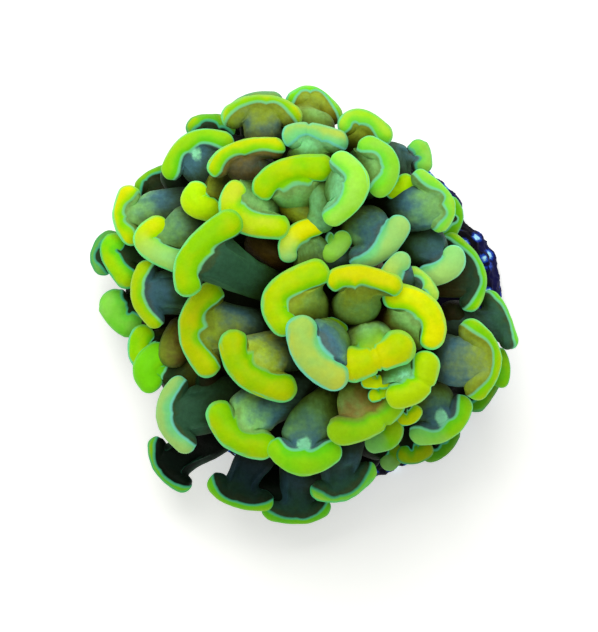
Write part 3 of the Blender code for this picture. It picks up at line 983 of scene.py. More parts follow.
@dataclass(frozen=True)
class Head:
    """A tentacle's head: a round-ended sausage whose centreline is a parabola.

    The centreline is centre + half·t + back·t², with t from -1 at one tip to 1 at the other. An
    angle round the sausage is measured from its outer ridge.
    """

    centre: Array
    half: Array
    back: Array
    outward: Array
    up: Array
    radius: float

    @classmethod
    def from_cage(cls, cage: Array) -> Head:
        """The head whose section the cage's last two rings lie on.

        The middle of a front and back pair lies on the section's axis of symmetry, at the
        cosine of the ring's angle, so two rings give its centre and radius.

        Args:
            cage: The tentacle's rings.

        Returns:
            The head.
        """
        near, far = np.radians(CAGE_ANGLES)
        quarter = cage.shape[1] // 4
        columns = [quarter - 1, quarter, quarter + 1]
        pairs = [-column % cage.shape[1] for column in columns]
        upper = (cage[-1][columns] + cage[-1][pairs]) / 2.0
        lower = (cage[-2][columns] + cage[-2][pairs]) / 2.0
        arms = (upper - lower) / (math.cos(near) - math.cos(far))
        centres = upper - math.cos(near) * arms
        radius = float(np.linalg.norm(arms[1]))
        back = 2.0 * (centres[0] + centres[2]) - 4.0 * centres[1]
        up = unit(cage[-1][quarter] - cage[-1][-quarter])
        return cls(centres[1], centres[0] - centres[2], back, arms[1] / radius, up, radius)

    @property
    def span(self) -> float:
        """The centreline's length from tip to tip.

        Returns:
            The length of 40 short chords along it.
        """
        t = np.linspace(-1.0, 1.0, 41)[:, None]
        line = self.centre + self.half * t + self.back * t**2
        return float(np.linalg.norm(np.diff(line, axis=0), axis=1).sum())

    def outline(self, count: int) -> tuple[Array, Array, Array]:
        """Even steps round the head's outline, which has two long sides and two round ends.

        Args:
            count: How many steps.

        Returns:
            For each step: t along the centreline, the turn from the upper side round an end to
            the lower side in radians, and which end it is on, as -1, 0 or 1.
        """
        bend = math.pi * self.radius
        whole = 2.0 * (self.span + bend)
        step = np.arange(count) / count * whole
        mirrored = np.minimum(step, whole - step)
        along = np.clip((mirrored - bend / 2.0) / self.span, 0.0, 1.0)
        near = np.clip(mirrored / (bend / 2.0), 0.0, 1.0)
        far = np.clip((mirrored - bend / 2.0 - self.span) / (bend / 2.0), 0.0, 1.0)
        turn = math.pi / 2.0 * (1.0 - near + far)
        turn = np.where(step > whole / 2.0, math.pi - turn, turn)
        end = (near < 1.0).astype(float) - (far > 0.0)
        return 1.0 - 2.0 * along, turn, end

    def shares(self, count: int) -> Array:
        """Each outline step's place round the stalk's rings, in ring columns.

        The columns stand at the end's middle, a third of the way round the end from there, and
        at the quarters of the long side.

        Args:
            count: How many outline steps there are.

        Returns:
            A place for each step.
        """
        bend = math.pi * self.radius
        whole = 2.0 * (self.span + bend)
        marks = np.array([0.0, bend / 3.0, *(bend / 2.0 + self.span * np.array([0.25, 0.5, 0.75]))])
        marks = np.concatenate([marks, whole / 2.0 - marks[1::-1]])
        marks = np.concatenate([marks, whole - marks[5::-1]])
        return np.interp(np.arange(count) / count * whole, marks, np.arange(float(len(marks))))

    def ring(self, angle: Array, outline: tuple[Array, Array, Array], swell: Array) -> Array:
        """A ring round the head, at an angle from its ridge that may vary along it.

        Args:
            angle: The angle at each outline step, in radians.
            outline: The outline, as outline() gives it.
            swell: The head's thickness there, as a share of its radius.

        Returns:
            A point for each step.
        """
        t, turn, end = outline
        line = self.centre + self.half * t[:, None] + self.back * t[:, None] ** 2
        tangent = unit(self.half + 2.0 * self.back * t[:, None])
        normal = unit(self.outward - (tangent @ self.outward)[:, None] * tangent)
        level = np.cos(turn)[:, None] * self.up + (np.sin(turn) * end)[:, None] * tangent
        arm = np.cos(angle)[:, None] * normal + np.sin(angle)[:, None] * level
        return line + (self.radius * swell)[:, None] * arm


SHEEN_SIDE = np.array([-0.75, -0.66, 0.0])  # the side on which the painted sheen on the pads' flanks is strongest


@dataclass(frozen=True)
class Look:
    """How one tentacle is painted and plumped."""

    near: Stalk  # the stalk's tint beside the pad
    deep: Stalk  # its tint further in
    cover: float  # share of the head's width that the pad covers, from the outer ridge
    warmth: float  # 0 for a green pad, 1 for a golden one
    # The pad's and the stalk's brightness: partly the tentacle's own tone, partly painted light and
    # shade for where it sits in the colony
    pad_light: float
    stalk_light: float
    ends: float = 0.12  # how much fuller the head's ends are than its middle
    spark: float = 0.0  # strength of the painted highlight on the neck
    pleats: tuple[float, ...] = ()  # places along the head, from -1 to 1, of narrow creases
    slant: float = 0.0  # how much more of its width the pad covers at one end than at the other
    warm_end: float = 0.0  # how much more golden the pad is at one end
    mint: float = 0.0  # how far the pad turns to mint
    mint_end: float = 0.0  # how much further at one end
    wave: float = 1.0  # how wavy the pad's edge is
    blur: float = 0.0  # how softly the pad's edge fades into the stalk, in millimetres
    slim: float = 0.0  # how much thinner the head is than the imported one, off its outer side
    waist: float = 1.0  # the stalk's width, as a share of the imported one's
    sway: tuple[float, float] = (0.0, 0.0)  # how far the stalk's middle leans
    shift: tuple[float, float] = (0.0, 0.0)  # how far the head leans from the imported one


@dataclass
class Tentacle:
    """A hammer tentacle: a stalk through four rings, flowing into a plump, hooked head."""

    name: str
    number: int
    look: Look
    around: int = 96
    stalk_rows: int = 44
    head_rows: int = 34
    sink: float = 1.2  # how far its foot goes into the dome
    foot_flare: float = 1.15
    stalk_swell: tuple[float, ...] = (1.15, 1.18, 1.16, 1.04)  # ring by ring, from the foot up
    waist_shares: tuple[float, ...] = (0.6, 1.0, 0.8, 0.3)  # how far the rings take the waist
    lean_shares: tuple[float, ...] = (0.0, 0.2, 0.5, 0.8)  # how far they follow the head's shift
    sway_shares: tuple[float, ...] = (0.4, 1.0, 1.0, 0.7)  # how far they take its sway
    neck_pinch: float = 0.80  # the neck's thickness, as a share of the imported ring's
    head_swell: float = 1.05
    lopside: float = 0.05  # how much thicker than its middle an end may be by chance
    pleat_depth: float = 0.20
    pleat_width: float = 0.07
    hook_middle: float = 124.0  # degrees from the ridge to the crease under the head
    hook_end: float = 162.0
    hook_from: float = 0.45  # how far towards its ends the crease starts to deepen
    steer: float = 0.86  # which share of that angle the row past the crease steers towards
    end_cover: float = 16.0  # how many degrees further the pad reaches round the head's ends
    bare_gap: float = 1.5  # how far past the ridge a head without a pad keeps the pad's edge
    edge_width: float = 0.24  # over how much the pad turns into stalk, where it isn't blurred
    edge_waves: tuple[int, ...] = (2, 3, 5, 7)  # waves that the pad's edge makes round the head
    wave_size: Span = (0.04, 0.14)  # the least and greatest height of each
    lobe_size: Span = (0.1, 0.8)  # of the lobes on its long sides
    lobe_width: float = 0.05  # in turns round the head
    lobe_stray: float = 0.03  # how far they stray from the middles of the sides
    point_size: Span = (0.2, 0.6)  # of the short point beside each lobe
    point_width: float = 0.018
    point_stray: float = 0.02
    point_power: float = 1.3  # below 2, the bell curve is a pointed one
    lumpiness: tuple[tuple[float, float], ...] = ((0.09, 5.5), (0.03, 2.0))  # height, width
    groove: float = 0.10  # the depth of the groove beside the pad's edge
    lip: float = 0.07  # the height of the swelling inside it

    def build(self, head: Head, rings: Array) -> Skin:
        """The tentacle's skin.

        Args:
            head: Its head.
            rings: Its four stalk rings, from the base to the neck.

        Returns:
            The closed skin. Rows run from the foot to the head's ridge, where the last row is
            folded together.
        """
        random = np.random.default_rng(self.number)
        head, rings = self._leant(head, rings)
        outline = head.outline(self.around)
        t, _, _ = outline
        lean = random.uniform(-self.lopside, self.lopside)
        swell = self.head_swell * (1.0 + self.look.ends * (t**2 - 0.4) + lean * t)
        for place in self.look.pleats:
            swell = swell * (1.0 - self.pleat_depth * bell(t, place, self.pleat_width))
        middle, end = math.radians(self.hook_middle), math.radians(self.hook_end)
        hook = middle + (end - middle) * smooth_step(self.hook_from, 1.0, np.abs(t))
        stalk = self._stalk_rings(rings, head)
        stalk = round_rings(stalk, head.shares(self.around))
        creases = [head.ring(hook * turn, outline, swell) for turn in (1.0, self.steer)]
        rows = np.concatenate([stalk, creases])
        knots = arc_knots(rows)
        along = np.linspace(knots[1], knots[-2], self.stalk_rows, endpoint=False)
        lower = cubic(knots, rows, along)
        fade = np.linspace(1.0, 0.0, self.head_rows)
        upper = np.array([head.ring(hook * share, outline, swell) for share in fade])
        grid = np.concatenate([lower, upper])
        past = np.concatenate([
            np.broadcast_to((along - knots[-2])[:, None], lower.shape[:2]),
            head.radius * hook * (1.0 - fade)[:, None],
        ])
        edge = past - self._pad_start(random, head.radius, hook, t)
        climb = (along - knots[1]) / (knots[-2] - knots[1])
        reach = np.concatenate([climb, np.ones(self.head_rows)])
        return self._skin(self._relief(grid, edge, reach), edge, reach, t)

    def _leant(self, head: Head, rings: Array) -> tuple[Head, Array]:
        """The head and stalk thinned and leant as the look says.

        Args:
            head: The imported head.
            rings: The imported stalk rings.

        Returns:
            The new head and rings.
        """
        lean = np.array([*self.look.shift, 0.0])
        centre = head.centre + lean - head.outward * self.look.slim
        head = replace(head, centre=centre, radius=head.radius - self.look.slim)
        waists, leans, sways = (
            np.array(shares)[:, None, None]
            for shares in (self.waist_shares, self.lean_shares, self.sway_shares)
        )
        waist = 1.0 + (self.look.waist - 1.0) * waists
        middles = rings.mean(axis=1, keepdims=True)
        sway = sways * np.array([*self.look.sway, 0.0])
        return head, middles + (rings - middles) * waist + leans * lean + sway

    def _stalk_rings(self, rings: Array, head: Head) -> Array:
        """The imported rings, swollen, with a foot in the dome and one more row to steer it.

        Args:
            rings: The stalk rings, from the base to the neck.
            head: The head.

        Returns:
            Six rings: two at the foot, then the swollen four.
        """
        middles = rings.mean(axis=1, keepdims=True)
        swollen = middles + (rings - middles) * np.array(self.stalk_swell)[:, None, None]
        depth = ((swollen[3] - middles[3]) @ head.up)[:, None] * head.up
        swollen[3] -= depth * (1.0 - self.neck_pinch)
        down = unit(middles[0] - middles[1])
        foot = middles[0] + (swollen[0] - middles[0]) * self.foot_flare + down * self.sink
        return np.concatenate([[foot + down * self.sink, foot], swollen])

    def _pad_start(
        self, random: np.random.Generator, radius: float, hook: Array, t: Array
    ) -> Array:
        """How far past the crease the bright pad starts, in millimetres, round the outline.

        Its edge lies at the angle from the ridge whose cosine is 1 - 2 cover, wavers slowly, and
        near the middle of each long side dips towards the neck in a lobe and a short point. With
        no cover it lies past the ridge, so the whole head is stalk.

        Args:
            random: The tentacle's own numbers.
            radius: The head's radius.
            hook: The crease's angle from the ridge, round the outline.
            t: The place along the head, round the outline.

        Returns:
            A distance for each outline step.
        """
        turn = np.arange(self.around) / self.around
        if self.look.cover <= 0.0:
            return radius * hook + self.bare_gap
        angle = math.acos(1.0 - 2.0 * self.look.cover) + math.radians(self.end_cover) * t**2
        start = radius * (hook - angle - self.look.slant * t)
        wave = np.zeros(self.around)
        for count in self.edge_waves:
            size = random.uniform(*self.wave_size)
            wave += size * np.sin(2.0 * math.pi * (count * turn + random.uniform()))
        for middle in (0.25, 0.75):
            place = middle + random.normal() * self.lobe_stray
            wave -= random.uniform(*self.lobe_size) * bell(turn, place, self.lobe_width)
            point = place + random.normal() * self.point_stray
            depth = random.uniform(*self.point_size)
            wave -= depth * bell(turn, point, self.point_width, self.point_power)
        return start + self.look.wave * wave

    def _relief(self, grid: Array, edge: Array, reach: Array) -> Array:
        """Lumps over the whole skin, a groove beside the pad's edge and a swelling inside it.

        The relief grows from nothing above the foot, and fades out over the last three rows,
        which come together at the ridge.

        Args:
            grid: The skin's points, by row and by column.
            edge: How far past the pad's edge each point is.
            reach: Each row's place up the stalk.

        Returns:
            The points, moved along their normals.
        """
        base = smooth_step(0.0, 0.15, reach)[:, None]
        height = sum(
            tall * lumps(grid, self.number + 99 * count, wide)
            for count, (tall, wide) in enumerate(self.lumpiness)
        )
        height = height - self.groove * bell(edge, -0.3, 0.3) + self.lip * bell(edge, 0.5, 0.45)
        moved = grid + grid_normals(grid) * (height * base)[..., None]
        closing = np.ones(len(grid))
        closing[-3:] = (0.6, 0.25, 0.0)
        return grid + (moved - grid) * closing[:, None, None]

    def _skin(self, grid: Array, edge: Array, reach: Array, t: Array) -> Skin:
        """The closed skin, with the numbers that its finish reads.

        The last row's two halves share their points, which closes the skin along the ridge. The
        painted highlight is a bell just outside the pad's edge, in the middle of the upper side.

        Args:
            grid: The skin's points, by row and by column.
            edge: How far past the pad's edge each point is.
            reach: Each row's place up the stalk.
            t: The place along the head, round the outline.

        Returns:
            The skin.
        """
        rows, columns = grid.shape[:2]
        half = columns // 2
        ridge = (rows - 1) * columns
        fold = np.arange(rows * columns)
        fold[ridge + half + 1:] = ridge + np.arange(half - 1, 0, -1)
        folded = fold[grid_faces(rows, columns)].tolist()
        faces = [list(dict.fromkeys(face)) for face in folded]
        faces.append(list(range(columns))[::-1])
        kept = ridge + half + 1
        normals = grid_normals(grid)
        turn = np.arange(columns) / columns
        numbers = {
            "pad_edge": edge,
            "facing_up": normals[..., 2],
            # how far each point faces the side where the painted sheen is strongest
            "facing_cool": normals @ SHEEN_SIDE,
            "stalk_reach": reach[:, None],
            "spark": self.look.spark * bell(edge, -0.9, 1.0) * bell(turn, 0.25, 0.045),
            "pad_warmth": self.look.warmth + self.look.warm_end * t,
            "pad_mint": self.look.mint + self.look.mint_end * t,
            "pad_light": self.look.pad_light,
            "edge_sharp": 1.0 / (self.edge_width + 2.0 * self.look.blur),
            "stalk_light": self.look.stalk_light,
            "stalk_near": self.look.near.value,
            "stalk_deep": self.look.deep.value,
        }
        numbers = {
            name: np.broadcast_to(values, edge.shape).reshape(-1)[:kept]
            for name, values in numbers.items()
        }
        return Skin(self.name, grid.reshape(-1, 3)[:kept], faces, numbers)


TEAL, SLATE, SAGE = Stalk.TEAL, Stalk.SLATE, Stalk.SAGE
MINT, OLIVE, UMBER = Stalk.MINT, Stalk.OLIVE, Stalk.UMBER
LOOKS = {
    1: Look(OLIVE, SLATE, 0.46, 0.7, 1.0, 0.9, 0.10, waist=0.7, shift=(-0.2, -0.9)),
    2: Look(TEAL, SLATE, 0.60, 0.0, 0.8, 0.5, shift=(1.2, -0.5)),
    3: Look(TEAL, SLATE, 0.50, 0.7, 1.1, 0.5),
    4: Look(SLATE, SLATE, 0.60, 0.6, 0.95, 1.15, 0.15, 1.0, shift=(0.2, -0.5)),
    5: Look(UMBER, SLATE, 0.44, 0.6, 1.05, 1.0, 0.12, waist=0.85, shift=(0.3, -0.9)),
    6: Look(TEAL, OLIVE, 0.50, 0.8, 1.2, 0.5, shift=(0.3, -0.3)),
    7: Look(SAGE, SLATE, 0.62, 0.6, 1.15, 1.1, 0.05, slim=0.3, wave=1.3, waist=0.9,
            shift=(0.3, 0.2)),
    8: Look(TEAL, TEAL, 0.36, -0.3, 0.9, 0.5, mint=0.4, shift=(0.8, 0.0)),
    9: Look(TEAL, TEAL, 0.62, 0.2, 1.25, 0.6, 0.05, shift=(1.0, 1.2)),
    10: Look(SAGE, SLATE, 0.84, 0.3, 1.15, 0.8, 0.0, wave=0.8, mint=0.3, mint_end=0.4),
    11: Look(OLIVE, TEAL, 0.90, 0.45, 1.35, 1.0, -0.15, wave=0.5, slim=0.2, shift=(0.6, 0.7)),
    12: Look(TEAL, TEAL, 0.82, -0.1, 0.97, 0.72, 0.10, slim=0.4, wave=1.6, waist=0.75,
             sway=(0.4, 1.4), shift=(0.4, 0.3)),
    13: Look(SAGE, TEAL, 0.86, 0.5, 1.1, 1.0, -0.15, wave=0.7, mint=0.15, shift=(0.6, -0.1)),
    14: Look(OLIVE, SAGE, 0.34, 0.4, 1.1, 1.4, -0.05, shift=(-0.5, -0.9)),
    15: Look(MINT, SAGE, 0.50, 0.1, 1.0, 1.1, 0.15, pleats=(0.15,), shift=(0.0, -0.9)),
    16: Look(OLIVE, SAGE, 0.50, 0.3, 1.0, 1.0, -0.05, mint=0.2, shift=(-0.3, -0.1)),
    17: Look(SAGE, TEAL, 0.58, 0.3, 1.05, 1.1, 0.10, slim=0.35, wave=1.5, mint=0.2,
             shift=(-0.3, 0.4)),
    18: Look(SAGE, MINT, 0.86, 0.1, 1.0, 1.1, 0.02, slim=0.4, shift=(-0.3, -1.3)),
    19: Look(MINT, SAGE, 0.54, 0.6, 1.22, 0.9, -0.05, slim=0.4, wave=1.6, mint=0.25, waist=0.75,
             sway=(0.7, 0.2), shift=(0.6, 0.4)),
    20: Look(SLATE, SLATE, 0.58, 0.6, 1.3, 1.6, mint=0.3, shift=(-1.0, 0.0)),
    22: Look(SAGE, SLATE, 0.40, 0.8, 1.1, 0.95, 0.10, slim=0.3, mint=0.25, wave=1.3, waist=0.9,
             shift=(-0.5, 0.4)),
    23: Look(TEAL, SLATE, 0.50, 0.0, 0.9, 0.5, shift=(-0.4, 0.0)),
    24: Look(SLATE, SAGE, 0.62, 0.8, 1.05, 1.0, -0.1, slant=-0.8, wave=0.1, shift=(-0.4, -0.2)),
    25: Look(SAGE, SLATE, 0.80, 0.9, 1.1, 0.9, -0.10, mint=0.2, mint_end=0.5, wave=0.3,
             shift=(-0.3, 0.6)),
    27: Look(OLIVE, SAGE, 0.84, 0.2, 1.0, 1.1, 0.05, slim=0.2, wave=1.2, shift=(0.5, 0.8)),
    28: Look(OLIVE, SAGE, 0.74, 0.8, 1.0, 0.78, -0.05, shift=(-0.4, -1.2)),
    30: Look(SLATE, TEAL, 0.45, 1.0, 1.1, 1.3, mint=0.3, shift=(-1.2, -0.8)),
    31: Look(SAGE, UMBER, 0.78, 0.8, 1.18, 1.1, 0.0, slim=0.3, wave=0.6, shift=(-0.8, -0.1)),
    32: Look(SLATE, SAGE, 0.84, 0.35, 0.95, 1.1, 0.02, wave=0.1),
    33: Look(SAGE, SLATE, 0.88, 0.6, 1.0, 1.1, 0.25, 0.3, (-0.08, 0.08), wave=0.2, blur=1.4,
             shift=(-1.0, 0.5)),
    34: Look(MINT, UMBER, 0.78, 1.0, 1.08, 1.1, 0.05, 0.8, (-0.3,), slim=0.3, shift=(-0.5, 0.0)),
    35: Look(UMBER, SAGE, 0.54, 0.8, 0.85, 2.1, slant=0.3, pleats=(-0.35,), wave=0.6, blur=0.8,
             shift=(-1.2, 0.7)),
    36: Look(SLATE, SAGE, 0.60, 0.3, 0.92, 0.88, -0.22, 1.8, slim=0.2, shift=(-1.2, 0.2)),
    37: Look(SAGE, SLATE, 0.70, 0.0, 0.9, 1.5, wave=1.4, blur=0.3, slim=0.2, shift=(0.6, -0.1)),
    38: Look(OLIVE, SLATE, 0.80, 0.3, 0.86, 1.6, wave=1.4, blur=0.2, slim=0.2, waist=0.9,
             shift=(0.5, -0.6)),
    39: Look(OLIVE, SLATE, 0.74, 0.45, 0.86, 1.0, 0.08, wave=1.2, shift=(0.2, 0.6)),
    40: Look(SLATE, TEAL, 0.56, 1.1, 1.0, 0.65, -0.22, wave=0.4, slim=0.2, shift=(-0.2, 0.6)),
    41: Look(TEAL, TEAL, 0.66, 0.0, 1.3, 0.5, mint=0.2, shift=(0.3, 0.4)),
    42: Look(TEAL, OLIVE, 0.95, -0.2, 0.95, 0.6, -0.1, wave=0.4),
    44: Look(TEAL, TEAL, 0.54, 1.0, 0.95, 0.65, -0.22, wave=0.4, slim=0.1, shift=(0.3, -0.2)),
    45: Look(TEAL, TEAL, 0.42, 0.7, 0.9, 0.05, -0.1, wave=0.5, shift=(-0.2, 0.0)),
    46: Look(TEAL, SLATE, 0.42, 0.8, 1.0, 0.2, wave=0.5, waist=0.75, shift=(0.1, -0.2)),
    47: Look(TEAL, SLATE, 0.42, 0.4, 0.95, 0.5, wave=0.5, shift=(-0.5, 0.0)),
    48: Look(TEAL, SLATE, 0.42, 0.5, 1.1, 0.8, wave=0.5, mint=0.2, waist=0.85, shift=(-0.8, -0.2)),
    49: Look(TEAL, OLIVE, 0.90, 0.4, 0.7, 0.4, -0.1, warm_end=-0.7, mint=0.1, mint_end=0.7,
             wave=0.4, slim=0.5, shift=(-0.6, 0.5)),
    50: Look(TEAL, TEAL, 0.9, 0.6, 0.7, 0.4, mint_end=0.5, wave=0.3, shift=(-0.6, 0.3)),
    52: Look(SLATE, SAGE, 0.52, 0.5, 0.9, 0.95, 0.1, 1.8, slim=0.1, mint=0.1, mint_end=0.5,
             shift=(-0.2, 0.2)),
    53: Look(TEAL, TEAL, 0.60, 0.3, 0.6, 0.3, shift=(-0.7, -0.5)),
    54: Look(OLIVE, SLATE, 0.38, 0.6, 1.0, 1.1, wave=0.6, shift=(-0.2, 0.0)),
    55: Look(TEAL, SLATE, 0.34, 0.4, 1.0, 0.75, -0.1, wave=0.5),
    57: Look(TEAL, TEAL, 0.60, 0.0, 0.7, 0.3, shift=(-0.6, 0.2)),
    58: Look(SLATE, TEAL, 0.78, 0.8, 1.1, 0.75, -0.1, slant=-0.2, warm_end=0.4, wave=0.0,
             mint=0.15, mint_end=-0.3, shift=(-0.8, -0.8)),
    59: Look(TEAL, UMBER, 0.42, 0.4, 0.95, 0.45, 0.05, wave=0.5, shift=(-0.6, -0.8)),
}


@dataclass(frozen=True)
class Bud:
    """A small tentacle in a gap between large ones, grown from its polyp's dome."""

    slot: str
    polyp: str
    tip_a: tuple[float, float]  # plan centre of one rounded end
    tip_b: tuple[float, float]
    bend: float  # how far the head's middle stands out from the line between its ends
    radius: float
    height: float
    pitch: float  # degrees that the head points up
    look: Look
    stalk_share: float = 0.8  # the stalk's thickness, as a share of the head's
    neck: float = 1.25  # how far the neck is behind the head's middle, in its radii
    neck_width: float = 0.58  # half the stalk's width there, as a share of the head's half length
    neck_depth: float = 0.98  # half its thickness there, as a share of the head's radius
    rooted: float = 0.3  # how far the stalk starts inside the dome
    rise: float = 0.4  # how far the stalk goes straight out of the dome, as a share of its length
    reach: float = 0.34  # how far it runs straight into the head

    def head(self, root: Array) -> Head:
        """Its head, turned away from the dome's centre.

        Args:
            root: The dome's centre.

        Returns:
            The head.
        """
        tip_a, tip_b = np.array(self.tip_a), np.array(self.tip_b)
        across, middle = tip_b - tip_a, (tip_a + tip_b) / 2.0
        outward = unit(np.array([across[1], -across[0]]))
        outward = outward if outward @ (middle - root[:2]) >= 0.0 else -outward
        pitch = math.radians(self.pitch)
        ahead = np.array([*(outward * math.cos(pitch)), math.sin(pitch)])
        side = np.array([*unit(across), 0.0])
        up = np.cross(ahead, side)
        up = up if up[2] >= 0.0 else -up
        crown = np.array([*(middle + outward * self.bend), self.height])
        half = np.array([*(across / 2.0), 0.0])
        return Head(crown, half, -ahead * self.bend / math.cos(pitch), ahead, up, self.radius)

    def rings(self, head: Head, root: Array, dome: float) -> Array:
        """Its four stalk rings, along a cubic Bezier curve from the dome to the neck.

        Args:
            head: Its head.
            root: The dome's centre.
            dome: The dome's radius.

        Returns:
            Points, by ring and by column, with column 0 at one end of the head.
        """
        end = head.centre - head.outward * head.radius * self.neck
        away = unit(end - root)
        start = root + away * (dome - self.rooted)
        length = float(np.linalg.norm(end - start))
        first = start + away * self.rise * length
        second = end - head.outward * self.reach * length
        t = np.array([0.0, 1.0 / 3.0, 2.0 / 3.0, 1.0])[:, None]
        centres = (
            (1 - t) ** 3 * start + 3 * (1 - t) ** 2 * t * first
            + 3 * (1 - t) * t**2 * second + t**3 * end
        )
        chords = centres[2:] - centres[:-2]
        tangents = unit(np.array([away, *chords, head.outward]))
        side = unit(head.half)
        sides = unit(side - (tangents @ side)[:, None] * tangents)
        ups = np.cross(tangents, sides)
        ups = ups * np.where(ups @ head.up < 0.0, -1.0, 1.0)[:, None]
        width = self.neck_width * (float(np.linalg.norm(head.half)) + head.radius)
        thick = self.stalk_share * head.radius
        widths = np.array([thick, (thick + width) / 2.0, width, width])
        depths = np.array([thick, thick, thick, self.neck_depth * head.radius])
        angle = np.linspace(0.0, 2.0 * math.pi, RING_POINTS, endpoint=False)[None, :, None]
        across = widths[:, None, None] * np.cos(angle) * sides[:, None]
        return centres[:, None] + across + depths[:, None, None] * np.sin(angle) * ups[:, None]


BUDS = [
    Bud("lime_flesh", "a", (12.4, 22.8), (14.6, 24.2), 0.4, 1.5, 42.0, 30.0,
        Look(TEAL, OLIVE, 0.9, 0.2, 1.1, 0.5)),
    Bud("lime_flesh", "a", (2.7, 13.4), (0.6, 11.0), 0.3, 1.7, 48.0, 40.0,
        Look(SLATE, TEAL, 0.95, 0.6, 1.0, 0.7, mint=0.3)),
    Bud("shade_flesh", "b", (0.8, 8.9), (4.0, 9.4), 0.4, 1.8, 47.0, 50.0,
        Look(SLATE, TEAL, 0.0, 0.3, 0.8, 0.7)),
    Bud("mint_flesh", "b", (13.6, 9.3), (11.4, 6.2), 0.5, 1.8, 55.0, 30.0,
        Look(SLATE, TEAL, 0.85, 0.5, 1.0, 1.0, mint=0.3, mint_end=-0.4)),
    Bud("gold_flesh", "b", (-2.2, -1.6), (-0.4, -2.4), 0.2, 1.2, 50.0, 60.0,
        Look(OLIVE, UMBER, 0.95, 0.9, 1.0, 0.7)),
    Bud("lime_flesh", "b", (0.6, -2.6), (2.4, -3.6), 0.2, 1.3, 50.0, 60.0,
        Look(TEAL, OLIVE, 0.9, 0.3, 0.9, 0.7)),
    Bud("lime_flesh", "b", (7.6, -13.4), (10.2, -13.4), 0.4, 1.2, 53.0, 50.0,
        Look(TEAL, OLIVE, 0.95, 0.9, 1.1, 0.7, 0.3, 0.0, (-0.3, 0.4))),
    Bud("lime_flesh", "b", (8.8, -16.0), (10.6, -15.2), 0.4, 1.0, 51.0, 50.0,
        Look(TEAL, OLIVE, 0.95, 0.7, 1.0, 0.7, 0.3, 0.0, (0.0,))),
    Bud("lime_flesh", "b", (14.4, -20.4), (16.4, -19.2), 0.5, 1.3, 40.0, 20.0,
        Look(OLIVE, UMBER, 0.7, 0.8, 0.9, 0.7)),
    Bud("shade_flesh", "b", (15.0, -27.4), (18.4, -26.6), 0.6, 1.6, 24.0, 10.0,
        Look(TEAL, OLIVE, 0.8, 0.8, 0.6, 0.3)),
    Bud("lime_flesh", "b", (-35.4, -5.0), (-35.2, -9.0), 0.8, 2.2, 22.0, 10.0,
        Look(TEAL, OLIVE, 0.8, 0.2, 0.9, 0.5)),
    Bud("shade_flesh", "b", (-28.0, -4.0), (-29.6, -8.0), 0.5, 2.6, 26.0, 30.0,
        Look(OLIVE, UMBER, 0.0, 0.2, 0.8, 0.8)),
    Bud("lime_flesh", "b", (32.6, -8.6), (33.0, -13.0), 0.6, 1.5, 22.0, 0.0,
        Look(TEAL, TEAL, 0.7, 0.1, 0.8, 0.4)),
    Bud("shade_flesh", "a", (-8.8, 22.0), (-3.2, 17.9), 0.5, 2.8, 47.0, 60.0,
        Look(OLIVE, SAGE, 0.0, 0.2, 0.8, 1.0)),
    Bud("shade_flesh", "a", (-1.6, 22.6), (-1.4, 17.4), 0.5, 2.5, 50.0, 60.0,
        Look(MINT, SAGE, 0.0, 0.2, 0.8, 0.8)),
    Bud("shade_flesh", "a", (-13.0, 12.8), (-8.2, 10.4), 0.5, 2.6, 43.0, 60.0,
        Look(UMBER, UMBER, 0.0, 0.2, 0.8, 0.6)),
    # These bare stalks fill gaps under the canopy; their low stalk light paints them dark, as shade
    Bud("shade_flesh", "a", (-29.0, 25.6), (-26.4, 22.6), 0.5, 2.8, 26.0, 30.0,
        Look(TEAL, SLATE, 0.0, 0.2, 0.5, 0.4)),
    Bud("shade_flesh", "b", (-13.4, -33.6), (-8.4, -34.4), 0.5, 2.6, 15.0, 20.0,
        Look(TEAL, TEAL, 0.0, 0.2, 0.5, 0.08)),
    Bud("shade_flesh", "b", (3.0, -28.6), (7.6, -27.6), 0.5, 2.4, 15.0, 20.0,
        Look(TEAL, TEAL, 0.0, 0.2, 0.5, 0.08)),
    Bud("shade_flesh", "a", (-18.6, 33.4), (-15.6, 33.0), 0.3, 2.2, 15.0, 10.0,
        Look(TEAL, UMBER, 0.0, 0.2, 0.5, 0.3)),
    Bud("shade_flesh", "b", (-33.4, -1.0), (-33.8, -4.0), 0.3, 1.8, 18.0, 10.0,
        Look(TEAL, UMBER, 0.0, 0.2, 0.5, 0.3)),
    Bud("shade_flesh", "b", (24.0, -1.0), (26.0, -4.0), 0.5, 2.8, 28.0, 20.0,
        Look(TEAL, UMBER, 0.0, 0.2, 0.5, 0.25)),
    Bud("shade_flesh", "b", (-22.0, -14.0), (-20.0, -18.0), 0.5, 2.8, 28.0, 20.0,
        Look(TEAL, UMBER, 0.0, 0.2, 0.5, 0.25)),
]


